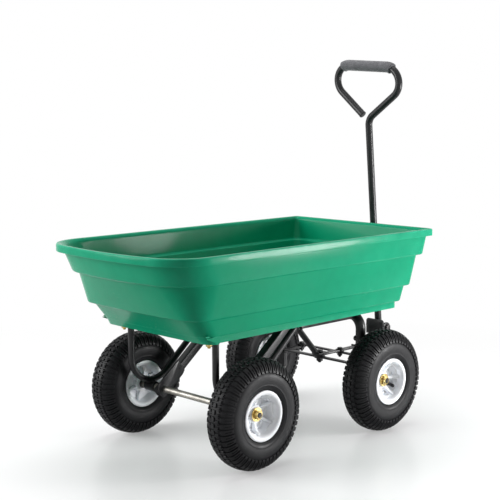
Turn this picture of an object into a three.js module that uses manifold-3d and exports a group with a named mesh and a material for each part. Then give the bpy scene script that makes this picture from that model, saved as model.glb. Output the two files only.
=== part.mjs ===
// Garden cart with a tipping poly tray, four pneumatic wheels and linked front-wheel steering.
// Millimetres, +Z up, +X towards the pull handle, +Y to the cart's left. The floor is z = 0.
import * as THREE from 'three';
import { mergeVertices } from 'three/addons/utils/BufferGeometryUtils.js';
import Module from 'manifold-3d';

const wasm = await Module();
wasm.setup();

// ---- Fits ----
const clearance = 0.3;
const weldOverlap = 2;
const cutOverrun = 1;

// ---- Wheels ----
const wheelBase = 455;
const wheelInset = 33.5;
const tyreRadius = 130;
const tyreWidth = 74;
const tyreWall = 6;
const treadThickness = 10;
const beadThickness = 9;
const bulgeDepth = 38;
const treadDepth = 9;
const treadDraft = 8;
const treadShoulder = 21;
const wheelSegments = 18;
const rimFlangeRadius = 59;
const rimSeatRadius = 51;
const rimWidth = 66;
const rimFlangeThickness = 3.7;
const rimWall = 5;
const hubRadius = 20;
const hubInboard = 24;
const hubOutboard = 5;
const webThickness = 6;
const webInset = 6;
const ribCount = 6;
const ribThickness = 4;
const ribTop = 18;
const ribDrop = 1;
const bushWall = 2.4;
const bushFlangeRadius = 14;
const bushFlangeThickness = 2;
const hubNutHeight = 8;
const hubNutRadius = 12;
const hubWasherRadius = 16.5;
const hubWasherThickness = 2;
const shaftSides = 12;
const valveRadius = 4;
const valveTipRadius = 3;
const valveLength = 22;
const valvePitchRadius = 34;
const axleRadius = 8;
const axleEndBeyondNut = 2.5;
const axleCollarRadius = 12;
const axleCollarWidth = 3;

// ---- Tray ----
const trayLength = 898;
const trayWidth = 492;
const trayRimHeight = 507;
const trayNoseOverhang = 274;
const trayWall = 4;
const lipHeight = 18;
const lipRoofDrop = 5;
const neckInset = 11;
const noseNeckInset = 14;
const rimLandWidth = 10;
const rimRounding = 5;
const rimArcInset = rimRounding * (1 - Math.SQRT1_2);
const ledgeDrop = 1.5;
const upperBand = { height: 48, sideDraft: 4, noseDraft: 20, step: 11, noseStep: 10 };
const middleBand = { height: 79, sideDraft: 13, noseDraft: 48, step: 10, noseStep: 11 };
const lowerBand = { height: 41, sideDraft: 8, noseDraft: 39, step: 9, noseStep: 1.5 };
const baseBand = { height: 16.5, sideDraft: 0, noseDraft: 16 };
const baseRecessStart = -86;
const baseRecessRun = 8;
const noseCornerRadii = [106, 112, 50, 38, 26];
const tailCornerRadii = [14, 24, 20, 18, 18];
const noseBows = [13, 11, 7, 3, 2];
const noseEdgeSteps = 2;
const noseCornerSteps = 5;
const tailCornerSteps = 2;

// ---- Chassis ----
const railSize = 22;
const railWall = 2;
const railInset = 130;
const railSteps = 3;
const railKneeReach = 200;
const railDropAtAxle = 2;
const railTailBeyondAxle = 14;
const railBendRadius = 40;
const underTrayGap = 0.5;
const gussetThickness = 4;
const gussetLength = 76;
const gussetAbove = 25.5;
const gussetBelow = 13;
const gussetTailSlant = 20;
const gussetChamfer = 12;
const gussetOverhang = 3;
const hoopRadius = 13;
const hoopWall = 2;
const kingpinInset = 104;
const hoopBendRadius = 36;
const hoopSides = 10;
const hoopBendSteps = 3;
const crossbarBehindHoop = 125;
const braceRadius = 8;
const braceFootBehindHoop = 15;
const braceFootLength = 34;
const braceFootWidth = 28;
const braceFootThickness = 4.5;
const braceFootHeel = 4;

// ---- Tray legs ----
const legInset = 93;
const legRadius = 8;
const legPostX = -63;
const legSlopeDegrees = 41;
const legBendRadius = 66;
const legBendSteps = 6;
const legSides = 10;
const legWeldDepth = 4.5;
const legSleeveRadius = 13;
const legSleeveLength = 34;
const legTabLength = 42;
const legTabWidth = 24;
const legTabThickness = 4;
const legTabBoltInset = 14;

// ---- Steering ----
const steerArmLength = 82;
const linkThickness = 5;
const linkTop = 158;
const crossTieWidth = 12;
const tieRodWidth = 10;
const steerArmWidth = 16;
const drawbarWidth = 16;
const kingpinRadius = 6;
const kingpinPlugSpare = 14;
const kingpinNutHeight = 8.5;
const kingpinNutRadius = 11;
const knuckleRadius = 15;
const knuckleHeight = 46;
const pivotBoltRadius = 5;
const linkBoltRadius = 4;
const eyeWall = 8;
const pivotEyeWall = 9;
const drawbarRampStart = 150;
const drawbarRampRun = 40;
const drawbarRise = 20;

// ---- Handle ----
const handlePivotReach = 247;
const handlePivotHeight = 205;
const handleLeanDegrees = 5.2;
const handleTubeRadius = 9.7;
const handleTubeWall = 1.8;
const handleTubeSides = 8;
const handleSleeveRadius = 12;
const handleSleeveLength = 50;
const shaftLength = 584;
const loopTiltDegrees = 3.6;
const loopSlopeDegrees = 38;
const loopRise = 143;
const loopBendRadius = 42;
const shaftBendRadius = 34;
const gripStraight = 129;
const loopTailLength = 216;
const gripRadius = 15;
const gripSides = 2 * handleTubeSides;
const handleBendSteps = 5;
const gripBendSteps = 2;
const clevisEarThickness = 5;
const clevisEarRadius = 14;
const clevisBaseThickness = 4.5;
const clevisStopHeight = 22;
const clevisStopPlay = 1;
const handleBoltRadius = 5;

// ---- Tray catch ----
const catchAheadOfHoop = 45;
const catchPinDrop = 32;
const catchPlateThickness = 6;
const catchPinRadius = 4;
const catchPinHeadRadius = 6.5;
const catchPinHeadHeight = 2;
const catchBossRadius = 8;
const catchEarThickness = 3;
const catchReleaseDegrees = 25;
const catchNoseTip = 3;
const catchNoseGap = 0.5;
const catchNoseDepth = 6;
const catchArmReach = 5;
const catchArmWidth = 5;
const catchLeverReach = 20;
const catchLeverDrop = 12;
const strikerBarRadius = 4;
const strikerBarDrop = 16;
const strikerThickness = 3.5;
const strikerCheekWidth = 12;
const strikerHalfLength = 16;
const strikerHalfWidth = 20;

// ---- Fasteners ----
const trayBoltRadius = 4;
const trayBoltHeadRadius = 10;
const trayBoltHeadHeight = 4;
const trayBoltHeadDome = 3;
const trayBoltNutHeight = 6.5;
const boltTail = 4;
const hexShare = 1.85;
const boltHeadShare = 1.3;
const boltNutShare = 1.6;
const boltSides = 6;

// ---- Heights and places worked out from the sizes above ----
const axleHeight = tyreRadius;
const wheelOffset = trayWidth / 2 - wheelInset;
const hoopHalfSpan = trayWidth / 2 - kingpinInset;
const railOffset = trayWidth / 2 - railInset;
const legOffset = trayWidth / 2 - legInset;
const crossbarX = wheelBase - crossbarBehindHoop;
const braceFootX = wheelBase - braceFootBehindHoop;
const bands = [upperBand, middleBand, lowerBand, baseBand];
const trayDepth = bands.reduce((sum, band) => sum + band.height, lipHeight + (bands.length - 1) * ledgeDrop);
const trayFloorHeight = trayRimHeight - trayDepth;
const railCentreHeight = trayFloorHeight - underTrayGap - railSize / 2;
const hoopTopHeight = trayFloorHeight - underTrayGap - hoopRadius;
const catchX = wheelBase + catchAheadOfHoop;
const catchPinHeight = trayFloorHeight - catchPinDrop;
const strikerBarHeight = trayFloorHeight - strikerBarDrop;
const axleBore = axleRadius + clearance;
const bushRadius = axleBore + bushWall;
const hubBore = bushRadius + clearance;
const webFace = webThickness / 2 - webInset;
const webBack = webFace - webThickness;
const nutFace = hubOutboard + bushFlangeThickness + 2 * clearance;
const axleTip = nutFace + hubWasherThickness + hubNutHeight + axleEndBeyondNut;
const drawbarTop = linkTop + clearance + linkThickness;
const armTop = linkTop - linkThickness - clearance;
const clevisFloor = drawbarTop + drawbarRise + clearance;
const handlePivotX = wheelBase + handlePivotReach;
const drawbarReach = handlePivotReach + clevisEarRadius;
const cartNose = -trayNoseOverhang;
const cartFront = wheelBase + drawbarReach;
const originX = (cartNose + cartFront) / 2;

// ---- Materials ----
function finish(color, roughness, metalness) {
  return new THREE.MeshStandardMaterial({ color, roughness, metalness });
}
const greenPoly = finish(0x1f9a73, 0.35, 0);
const blackSteel = finish(0x17171a, 0.4, 0.3);
const zincSteel = finish(0xb9b5a6, 0.35, 0.9);
const yellowZinc = finish(0xb8924a, 0.35, 0.9);
const blackRubber = finish(0x1c1c1e, 0.85, 0);
const whiteNylon = finish(0xe4e6ee, 0.4, 0);
const greyFoam = finish(0x3a3a40, 0.8, 0);
const bushNylon = finish(0x2a2a2c, 0.5, 0);

// ---- Solids ----
const radians = THREE.MathUtils.degToRad;

function toSolid(geometry) {
  const bare = new THREE.BufferGeometry();
  bare.setAttribute('position', geometry.getAttribute('position').clone());
  if (geometry.index) bare.setIndex(geometry.index.clone());
  const merged = mergeVertices(bare, 1e-4);
  const mesh = new wasm.Mesh({
    numProp: 3,
    vertProperties: new Float32Array(merged.getAttribute('position').array),
    triVerts: new Uint32Array(merged.index.array),
  });
  return new wasm.Manifold(mesh);
}

function toGeometry(solid) {
  const mesh = solid.getMesh();
  const geometry = new THREE.BufferGeometry();
  geometry.setAttribute('position', new THREE.BufferAttribute(mesh.vertProperties, 3));
  geometry.setIndex(new THREE.BufferAttribute(mesh.triVerts, 1));
  return geometry;
}

function join(...geometries) {
  return toGeometry(geometries.map(toSolid).reduce((whole, piece) => whole.add(piece)));
}

function cut(geometry, ...tools) {
  return toGeometry(tools.map(toSolid).reduce((whole, tool) => whole.subtract(tool), toSolid(geometry)));
}

// A box given by its low and high corners.
function box(low, high) {
  const size = high.map((value, axis) => value - low[axis]);
  const middle = high.map((value, axis) => (value + low[axis]) / 2);
  return new THREE.BoxGeometry(...size).translate(...middle);
}

// A closed profile of [radius, height] pairs turned about Y.
function revolve(profile, segments) {
  const points = profile.map(([radius, height]) => new THREE.Vector2(radius, height));
  if (THREE.ShapeUtils.area(points) < 0) points.reverse();
  return new THREE.LatheGeometry([...points, points[0]], segments);
}

// A round or six-sided post along Z, from one height to another.
function post(radius, from, to, sides = shaftSides) {
  return new THREE.CylinderGeometry(radius, radius, to - from, sides)
    .rotateX(Math.PI / 2)
    .translate(0, 0, (from + to) / 2);
}

// The same post laid along Y.
function crossPost(radius, from, to, sides = shaftSides) {
  return new THREE.CylinderGeometry(radius, radius, to - from, sides).translate(0, (from + to) / 2, 0);
}

// A flat outline raised along Z.
function plate(outline, bottom, top) {
  const options = { depth: top - bottom, bevelEnabled: false, curveSegments: 6 };
  return new THREE.ExtrudeGeometry(outline, options).translate(0, 0, bottom);
}

// A flat outline drawn in X and Z, standing with its thickness along Y.
function sidePlate(outline, from, to) {
  return plate(outline, -to, -from).rotateX(Math.PI / 2);
}

function polygon(points) {
  return new THREE.Shape(points.map(([x, y]) => new THREE.Vector2(x, y)));
}

function circle(radius, sides) {
  const corner = (index) => [
    radius * Math.cos((2 * Math.PI * index) / sides),
    radius * Math.sin((2 * Math.PI * index) / sides),
  ];
  return Array.from({ length: sides }, (_, index) => corner(index));
}

function square(size) {
  const half = size / 2;
  return [[half, half], [-half, half], [-half, -half], [half, -half]];
}

function ring(outer, inner) {
  const shape = polygon(outer);
  shape.holes.push(polygon(inner));
  return shape;
}

// A centreline of straight runs joined by round bends. Rings stand only at the ends of the runs
// and at even steps round each bend.
class BentPath extends THREE.Curve {
  constructor(corners, bendRadii, bendSteps) {
    super();
    this.stations = [];
    const last = corners.length - 1;
    const heading = (index) => corners[index + 1].clone().sub(corners[index]).normalize();
    this.addStation(corners[0], heading(0));
    for (let index = 1; index < last; index += 1) {
      this.addBend(corners[index], heading(index - 1), heading(index), bendRadii[index - 1], bendSteps);
    }
    this.addStation(corners[last], heading(last - 1));
  }

  addStation(point, tangent) {
    this.stations.push({ point: point.clone(), tangent: tangent.clone() });
  }

  addBend(corner, before, after, radius, steps) {
    const turn = before.angleTo(after);
    const reach = radius * Math.tan(turn / 2);
    const start = corner.clone().addScaledVector(before, -reach);
    const axis = before.clone().cross(after).normalize();
    const centre = start.clone().addScaledVector(axis.clone().cross(before), radius);
    const spoke = start.clone().sub(centre);
    for (let step = 0; step <= steps; step += 1) {
      const angle = (turn * step) / steps;
      const point = spoke.clone().applyAxisAngle(axis, angle).add(centre);
      this.addStation(point, before.clone().applyAxisAngle(axis, angle));
    }
  }

  part(from, to) {
    const piece = Object.create(this);
    piece.stations = this.stations.slice(from, to);
    return piece;
  }

  station(u) {
    return this.stations[Math.round(u * (this.stations.length - 1))];
  }

  getPointAt(u) {
    return this.station(u).point.clone();
  }

  getTangentAt(u) {
    return this.station(u).tangent.clone();
  }
}

function sweep(shape, path) {
  const options = { steps: path.stations.length - 1, bevelEnabled: false, extrudePath: path };
  return new THREE.ExtrudeGeometry(shape, options);
}

function tube(radius, wall, path, sides) {
  return sweep(ring(circle(radius, sides), circle(radius - wall, sides)), path);
}

// A hexagon-headed bolt along Z with its nut, head seat and nut seat given as heights.
function bolt(radius, headSeat, nutSeat) {
  const flats = radius * hexShare;
  const headHeight = radius * boltHeadShare;
  const nutHeight = radius * boltNutShare;
  return join(
    post(flats, headSeat, headSeat + headHeight, 6),
    post(radius, nutSeat - nutHeight - boltTail, headSeat + weldOverlap, boltSides),
    post(flats, nutSeat - nutHeight, nutSeat, 6),
  );
}

// ---- Scene graph ----
const root = new THREE.Group();
const cart = new THREE.Group();
cart.position.x = -originX;
root.add(cart);

function add(name, geometry, material, parent = cart) {
  const mesh = new THREE.Mesh(geometry, material.clone());
  mesh.name = name;
  parent.add(mesh);
  return mesh;
}

const sides = [{ name: 'left', sign: 1 }, { name: 'right', sign: -1 }];
const ends = [{ name: 'rear', x: 0 }, { name: 'front', x: wheelBase }];
// How far each wheel has rolled on, in degrees.
const wheelTurns = { rear_left: 40, rear_right: 327, front_left: 140, front_right: 123 };

// ---- Wheels: turned about Y, outboard along +Y ----
// The tyre is a hollow ring, open inwards between its two beads, where the rim closes it.
function tyreGeometry() {
  const crown = tyreRadius / Math.cos(Math.PI / wheelSegments);
  const half = tyreWidth / 2;
  const beadHalf = rimWidth / 2 - rimFlangeThickness - clearance;
  const beadRadius = rimSeatRadius + clearance;
  const sideWall = [
    [beadRadius, beadHalf],
    [rimFlangeRadius + 2 * clearance, beadHalf],
    [crown - bulgeDepth, half],
    [crown - treadDepth, half - treadDraft],
    [crown, half - treadShoulder],
  ];
  const cavity = [
    [beadRadius, beadHalf - beadThickness],
    [crown - bulgeDepth, half - tyreWall],
    [crown - treadThickness, half - treadShoulder - tyreWall / 2],
  ];
  const bothSides = (points) => [...points, ...points.map(([radius, width]) => [radius, -width]).reverse()];
  return revolve([...bothSides(sideWall), ...bothSides(cavity).reverse()], wheelSegments)
    .rotateY(Math.PI / wheelSegments);
}

// The shell of the rim keeps its facets in line with the tyre's, and its ribs turn by themselves.
function rimGeometry(turn) {
  const half = rimWidth / 2;
  const barrel = rimSeatRadius - rimWall;
  const shell = revolve([
    [hubBore, -hubInboard], [hubRadius, -hubInboard], [hubRadius, webBack], [barrel, webBack],
    [barrel + 1, -half], [rimFlangeRadius, -half], [rimFlangeRadius, rimFlangeThickness - half],
    [rimSeatRadius, rimFlangeThickness - half], [rimSeatRadius, half - rimFlangeThickness],
    [rimFlangeRadius, half - rimFlangeThickness], [rimFlangeRadius, half], [barrel + 1, half],
    [barrel, webFace], [hubRadius, webFace], [hubRadius, hubOutboard], [hubBore, hubOutboard],
  ], wheelSegments).rotateY(Math.PI / wheelSegments);
  const rib = polygon([
    [hubRadius - weldOverlap, webBack], [barrel + weldOverlap, webBack],
    [barrel + weldOverlap, ribTop], [hubRadius - weldOverlap, hubOutboard - ribDrop],
  ]);
  const ribs = Array.from({ length: ribCount }, (_, index) => (
    plate(rib, -ribThickness / 2, ribThickness / 2).rotateY(turn + (2 * Math.PI * index) / ribCount)
  ));
  return join(shell, ...ribs);
}

function bushGeometry() {
  return revolve([
    [axleBore, -hubInboard], [bushRadius, -hubInboard], [bushRadius, hubOutboard + clearance],
    [bushFlangeRadius, hubOutboard + clearance],
    [bushFlangeRadius, hubOutboard + clearance + bushFlangeThickness],
    [axleBore, hubOutboard + clearance + bushFlangeThickness],
  ], shaftSides);
}

function hubNutGeometry() {
  const washerTop = nutFace + hubWasherThickness;
  const solid = join(
    crossPost(hubWasherRadius, nutFace, washerTop),
    crossPost(hubNutRadius, nutFace, washerTop + hubNutHeight, 6),
  );
  return cut(solid, crossPost(axleBore, nutFace - cutOverrun, washerTop + hubNutHeight + cutOverrun));
}

function valveGeometry(turn) {
  return revolve([[0, 0], [valveRadius, 0], [valveTipRadius, valveLength], [0, valveLength]], boltSides)
    .translate(valvePitchRadius, webFace + clearance, 0)
    .rotateY(turn + Math.PI / ribCount);
}

const wheelShapes = (turn) => ({
  tyre: [tyreGeometry(), blackRubber],
  rim: [rimGeometry(turn), whiteNylon],
  bush: [bushGeometry(), bushNylon],
  valve: [valveGeometry(turn), blackRubber],
  hub_nut: [hubNutGeometry(), yellowZinc],
});

for (const end of ends) {
  for (const side of sides) {
    const wheel = new THREE.Group();
    wheel.position.set(end.x, side.sign * wheelOffset, axleHeight);
    wheel.rotation.z = side.sign > 0 ? 0 : Math.PI;
    cart.add(wheel);
    const place = `${end.name}_${side.name}`;
    for (const [kind, [geometry, material]] of Object.entries(wheelShapes(radians(wheelTurns[place])))) {
      add(`${kind}_${place}`, geometry, material, wheel);
    }
  }
}

// ---- Tray ----
// One closed outline of the tray at a height, set in from the rim by its own amount at the nose,
// at the sides, along the recessed base and at the tail.
function trayOutline({ z, nose, side, base, tail, level, shrink = 0 }) {
  const noseX = -trayNoseOverhang + nose;
  const tailX = trayLength - trayNoseOverhang - tail;
  const sideY = trayWidth / 2 - side;
  const baseY = trayWidth / 2 - base;
  const bow = noseBows[level];
  const noseRadius = noseCornerRadii[level] - shrink;
  const tailRadius = tailCornerRadii[level] - shrink;
  const slope = Math.atan((2 * bow) / (sideY - noseRadius));
  const edgeY = sideY - noseRadius * (1 - Math.sin(slope));
  const half = [];
  for (let step = 0; step < noseEdgeSteps; step += 1) {
    const share = step / noseEdgeSteps;
    half.push([noseX + bow * share * share, edgeY * share]);
  }
  const noseCentre = [noseX + bow + noseRadius * Math.cos(slope), sideY - noseRadius];
  for (let step = 0; step <= noseCornerSteps; step += 1) {
    const angle = Math.PI - slope - ((Math.PI / 2 - slope) * step) / noseCornerSteps;
    half.push([noseCentre[0] + noseRadius * Math.cos(angle), noseCentre[1] + noseRadius * Math.sin(angle)]);
  }
  half.push([baseRecessStart, sideY], [baseRecessStart + baseRecessRun, baseY]);
  for (let step = 0; step <= tailCornerSteps; step += 1) {
    const angle = (Math.PI / 2) * (1 - step / tailCornerSteps);
    half.push([
      tailX - tailRadius + tailRadius * Math.cos(angle),
      baseY - tailRadius + tailRadius * Math.sin(angle),
    ]);
  }
  half.push([tailX, 0]);
  const otherHalf = half.slice(1, -1).reverse().map(([x, y]) => [x, -y]);
  return [...half, ...otherHalf].map(([x, y]) => [x, y, z]);
}

// Skins a closed solid over a list of matching outlines, with a flat cap at each end.
function loft(outlines) {
  const count = outlines[0].length;
  const positions = outlines.flat(2);
  const faces = [];
  for (let level = 0; level + 1 < outlines.length; level += 1) {
    for (let index = 0; index < count; index += 1) {
      const here = level * count + index;
      const next = level * count + ((index + 1) % count);
      faces.push(here, here + count, next, next, here + count, next + count);
    }
  }
  const lastRing = (outlines.length - 1) * count;
  for (let index = 1; index + 1 < count; index += 1) {
    faces.push(0, index, index + 1);
    faces.push(lastRing, lastRing + index + 1, lastRing + index);
  }
  const geometry = new THREE.BufferGeometry();
  geometry.setAttribute('position', new THREE.Float32BufferAttribute(positions, 3));
  geometry.setIndex(faces);
  return geometry;
}

// The wall levels of the tray's outside, from under the lip down to the floor.
function trayWallLevels() {
  const levels = [];
  let z = trayRimHeight - lipHeight;
  let side = neckInset;
  let nose = noseNeckInset;
  bands.forEach((band, index) => {
    const recessed = index === bands.length - 1;
    const recess = recessed ? lowerBand.step : 0;
    levels.push({ z, nose, side: side - recess, base: side, tail: side, level: index });
    z -= band.height;
    nose += band.noseDraft;
    side += band.sideDraft;
    levels.push({ z, nose, side: side - recess, base: side, tail: side, level: index + 1 });
    if (index + 1 < bands.length) {
      z -= ledgeDrop;
      side += band.step;
      nose += band.noseStep;
    }
  });
  return levels;
}

function inward(level, inset, rise) {
  return {
    ...level,
    z: level.z + rise,
    nose: level.nose + inset,
    side: level.side + inset,
    base: level.base + inset,
    tail: level.tail + inset,
    shrink: inset,
  };
}

function trayGeometry() {
  const walls = trayWallLevels();
  const lip = { nose: 0, side: 0, base: 0, tail: 0, level: 0 };
  const roof = trayRimHeight - lipRoofDrop;
  const lipFoot = trayRimHeight - lipHeight;
  const outside = [...walls].reverse();
  const rolledLip = [
    inward({ ...walls[0], z: roof }, 0, 0),
    inward({ ...lip, z: roof }, trayWall, 0),
    inward({ ...lip, z: lipFoot }, trayWall, 0),
    { ...lip, z: lipFoot },
    { ...lip, z: trayRimHeight - rimRounding },
    inward({ ...lip, z: trayRimHeight - rimArcInset }, rimArcInset, 0),
    inward({ ...lip, z: trayRimHeight }, rimRounding, 0),
    inward({ ...lip, z: trayRimHeight }, rimLandWidth, 0),
    inward({ ...walls[0], z: trayRimHeight - rimRounding }, trayWall, 0),
  ];
  const inside = walls.slice(1).map((level) => inward(level, trayWall, trayWall));
  const rings = [...outside, ...rolledLip, ...inside].map(trayOutline);
  return loft(rings);
}

const trayBoltBore = trayBoltRadius + clearance;
const legSlope = radians(legSlopeDegrees);
const legTabTop = trayFloorHeight - clearance;
const legTabBottom = legTabTop - legTabThickness;
const legCrown = axleHeight + legSleeveRadius + legRadius - legWeldDepth;
const legArcBottomX = legPostX + legBendRadius;
const legArcCentreZ = legCrown + legBendRadius;
// The sloping run touches the bend's circle, so its line is set off from the centre by the radius.
const legLineOffset = legBendRadius / Math.cos(legSlope);
const legLineHeight = (x) => legArcCentreZ - legLineOffset + (x - legArcBottomX) * Math.tan(legSlope);
const legTopX = legArcBottomX + (legTabBottom - legArcCentreZ + legLineOffset) / Math.tan(legSlope);
const legTabReach = legTabLength - legRadius;
const legBoltXs = [
  legPostX - legTabReach + legTabBoltInset,
  legTopX + legTabReach - legTabBoltInset,
];

const trayHoles = sides.flatMap((side) => legBoltXs.map((x) => (
  post(trayBoltBore, trayFloorHeight - cutOverrun, trayFloorHeight + trayWall + cutOverrun, boltSides)
    .translate(x, side.sign * legOffset, 0)
)));
add('tray', cut(trayGeometry(), ...trayHoles), greenPoly);

// ---- Tray legs: a bent tube on a sleeve that turns on the rear axle ----
function legGeometry() {
  const path = new BentPath([
    new THREE.Vector3(legPostX, 0, legTabBottom + weldOverlap),
    new THREE.Vector3(legPostX, 0, legLineHeight(legPostX)),
    new THREE.Vector3(legTopX, 0, legTabBottom + weldOverlap),
  ], [legBendRadius], legBendSteps);
  const tab = (from, to) => box([from, -legTabWidth / 2, legTabBottom], [to, legTabWidth / 2, legTabTop]);
  const solid = join(
    sweep(polygon(circle(legRadius, legSides)), path),
    crossPost(legSleeveRadius, -legSleeveLength / 2, legSleeveLength / 2).translate(0, 0, axleHeight),
    tab(legPostX - legTabReach, legPostX + legRadius),
    tab(legTopX - legRadius, legTopX + legTabReach),
  );
  const holes = legBoltXs.map((x) => (
    post(trayBoltBore, legTabBottom - cutOverrun, legTabTop + cutOverrun, boltSides).translate(x, 0, 0)
  ));
  const bore = crossPost(axleBore, -legSleeveLength, legSleeveLength).translate(0, 0, axleHeight);
  const above = box(
    [legPostX - legTabLength, -legTabWidth, legTabTop],
    [legTopX + legTabLength, legTabWidth, legTabTop + legTabLength],
  );
  return cut(solid, bore, above, ...holes);
}

function trayBoltGeometry() {
  const headSeat = trayFloorHeight + trayWall + clearance;
  const nutSeat = legTabBottom - clearance;
  const head = revolve([
    [0, headSeat], [trayBoltHeadRadius, headSeat],
    [trayBoltHeadRadius - trayBoltHeadDome, headSeat + trayBoltHeadDome],
    [0, headSeat + trayBoltHeadHeight],
  ], shaftSides).rotateX(Math.PI / 2);
  return join(
    head,
    post(trayBoltRadius, nutSeat - trayBoltNutHeight - boltTail, headSeat + cutOverrun, boltSides),
    post(trayBoltRadius * hexShare, nutSeat - trayBoltNutHeight, nutSeat, 6),
  );
}

for (const side of sides) {
  const y = side.sign * legOffset;
  add(`tray_leg_${side.name}`, legGeometry().translate(0, y, 0), blackSteel);
  legBoltXs.forEach((x, index) => {
    const place = index === 0 ? 'nose' : 'middle';
    add(`tray_bolt_${place}_${side.name}`, trayBoltGeometry().translate(x, y, 0), yellowZinc);
  });
}

// ---- Chassis ----
const turned = (collar) => crossPost(axleCollarRadius, collar - axleCollarWidth, collar);
const collarFace = wheelOffset - hubInboard - clearance;
const axleHalf = wheelOffset + axleTip;
add('rear_axle', join(
  crossPost(axleRadius, -axleHalf, axleHalf),
  turned(collarFace),
  turned(axleCollarWidth - collarFace),
).translate(0, 0, axleHeight), zincSteel);

// The straight lower part of a rail passes just under the axle's centre.
const strutStart = new THREE.Vector3(0, 0, axleHeight - railDropAtAxle);
const railKnee = new THREE.Vector3(railKneeReach, 0, railCentreHeight);
const strutHeading = railKnee.clone().sub(strutStart).normalize();
function railPoint(along) {
  return strutStart.clone().addScaledVector(strutHeading, along);
}

const hoopFoot = linkTop + clearance;
const hoopPath = new BentPath([
  new THREE.Vector3(wheelBase, -hoopHalfSpan, hoopFoot),
  new THREE.Vector3(wheelBase, -hoopHalfSpan, hoopTopHeight),
  new THREE.Vector3(wheelBase, hoopHalfSpan, hoopTopHeight),
  new THREE.Vector3(wheelBase, hoopHalfSpan, hoopFoot),
], [hoopBendRadius, hoopBendRadius], hoopBendSteps);
add('front_hoop', tube(hoopRadius, hoopWall, hoopPath, hoopSides), blackSteel);

// Each rail runs level under the tray, bends down to the rear axle and is coped to the hoop.
function railGeometry(y) {
  const path = new BentPath([
    railPoint(-railTailBeyondAxle),
    railKnee,
    new THREE.Vector3(wheelBase, 0, railCentreHeight),
  ], [railBendRadius], railSteps);
  const section = ring(square(railSize), square(railSize - 2 * railWall));
  const bore = crossPost(axleBore, -railSize, railSize).translate(0, 0, axleHeight);
  const cope = sweep(polygon(circle(hoopRadius + clearance, hoopSides)), hoopPath);
  const beyond = box(
    [wheelBase - hoopRadius / 2, y - railSize, 0],
    [wheelBase + railSize, y + railSize, trayRimHeight],
  );
  return cut(sweep(section, path).translate(0, y, 0), bore.translate(0, y, 0), cope, beyond);
}

function gussetGeometry() {
  const across = new THREE.Vector3(-strutHeading.z, 0, strutHeading.x);
  const corner = (along, over) => {
    const point = railPoint(along).addScaledVector(across, over);
    return [point.x, point.z];
  };
  const gussetTail = -railTailBeyondAxle - gussetOverhang;
  const outline = polygon([
    corner(gussetTail, -gussetBelow), corner(gussetLength - gussetChamfer, -gussetBelow),
    corner(gussetLength, gussetChamfer / 3 - gussetBelow), corner(gussetLength, gussetAbove),
    corner(gussetTail + gussetTailSlant, gussetAbove), corner(gussetTail, gussetAbove - gussetTailSlant),
  ]);
  const bore = crossPost(axleBore, -gussetThickness, 2 * gussetThickness).translate(0, 0, axleHeight);
  return cut(sidePlate(outline, 0, gussetThickness), bore);
}

const gussetInner = railOffset - railSize / 2 - clearance - gussetThickness;
for (const side of sides) {
  add(`rail_${side.name}`, railGeometry(side.sign * railOffset), blackSteel);
  const plateY = side.sign > 0 ? gussetInner : -gussetInner - gussetThickness;
  add(`axle_gusset_${side.name}`, gussetGeometry().translate(0, plateY, 0), blackSteel);
}

const crossbarHalf = railOffset - railSize / 2 - clearance;
const crossbarPath = new BentPath([
  new THREE.Vector3(crossbarX, -crossbarHalf, railCentreHeight),
  new THREE.Vector3(crossbarX, crossbarHalf, railCentreHeight),
], [], 0);
add('crossbar', sweep(ring(square(railSize), square(railSize - 2 * railWall)), crossbarPath), blackSteel);

const footBottom = drawbarTop + clearance;
const footTop = footBottom + braceFootThickness;
function braceGeometry() {
  const path = new BentPath([
    new THREE.Vector3(braceFootX, 0, footTop - cutOverrun),
    new THREE.Vector3(crossbarX, 0, railCentreHeight),
  ], [], 0);
  const foot = box(
    [braceFootX - braceFootHeel, -braceFootWidth / 2, footBottom],
    [braceFootX - braceFootHeel + braceFootLength, braceFootWidth / 2, footTop],
  );
  const half = railSize / 2 + clearance;
  const seat = box(
    [crossbarX - 3 * railSize, -railSize, railCentreHeight - half],
    [crossbarX + half, railSize, trayRimHeight],
  );
  const under = box([0, -railSize, 0], [trayLength, railSize, footBottom]);
  const bore = post(pivotBoltRadius + clearance, 0, trayRimHeight).translate(wheelBase, 0, 0);
  return cut(join(sweep(polygon(circle(braceRadius, shaftSides)), path), foot), seat, under, bore);
}
add('centre_brace', braceGeometry(), blackSteel);

// ---- Links ----
// A flat bar from one point of the plan to another, with a round eye at each pin.
function link(width, from, to, eyes, bottom, top) {
  const run = new THREE.Vector2(to[0] - from[0], to[1] - from[1]);
  const bar = box([0, -width / 2, bottom], [run.length(), width / 2, top])
    .rotateZ(run.angle())
    .translate(from[0], from[1], 0);
  const bosses = eyes.map(({ x, y, bore, wall }) => post(bore + wall, bottom, top).translate(x, y, 0));
  const bores = eyes.map(({ x, y, bore }) => (
    post(bore, bottom - cutOverrun, top + cutOverrun).translate(x, y, 0)
  ));
  return cut(join(bar, ...bosses), ...bores);
}

const kingpinBore = kingpinRadius + clearance;
const pivotBore = pivotBoltRadius + clearance;
const linkBore = linkBoltRadius + clearance;
const linkBottom = linkTop - linkThickness;
const tieRodX = wheelBase + steerArmLength;

add('cross_tie', link(
  crossTieWidth,
  [wheelBase, -hoopHalfSpan],
  [wheelBase, hoopHalfSpan],
  [
    { x: wheelBase, y: -hoopHalfSpan, bore: kingpinBore, wall: eyeWall },
    { x: wheelBase, y: 0, bore: pivotBore, wall: pivotEyeWall },
    { x: wheelBase, y: hoopHalfSpan, bore: kingpinBore, wall: eyeWall },
  ],
  linkBottom,
  linkTop,
), blackSteel);

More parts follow.
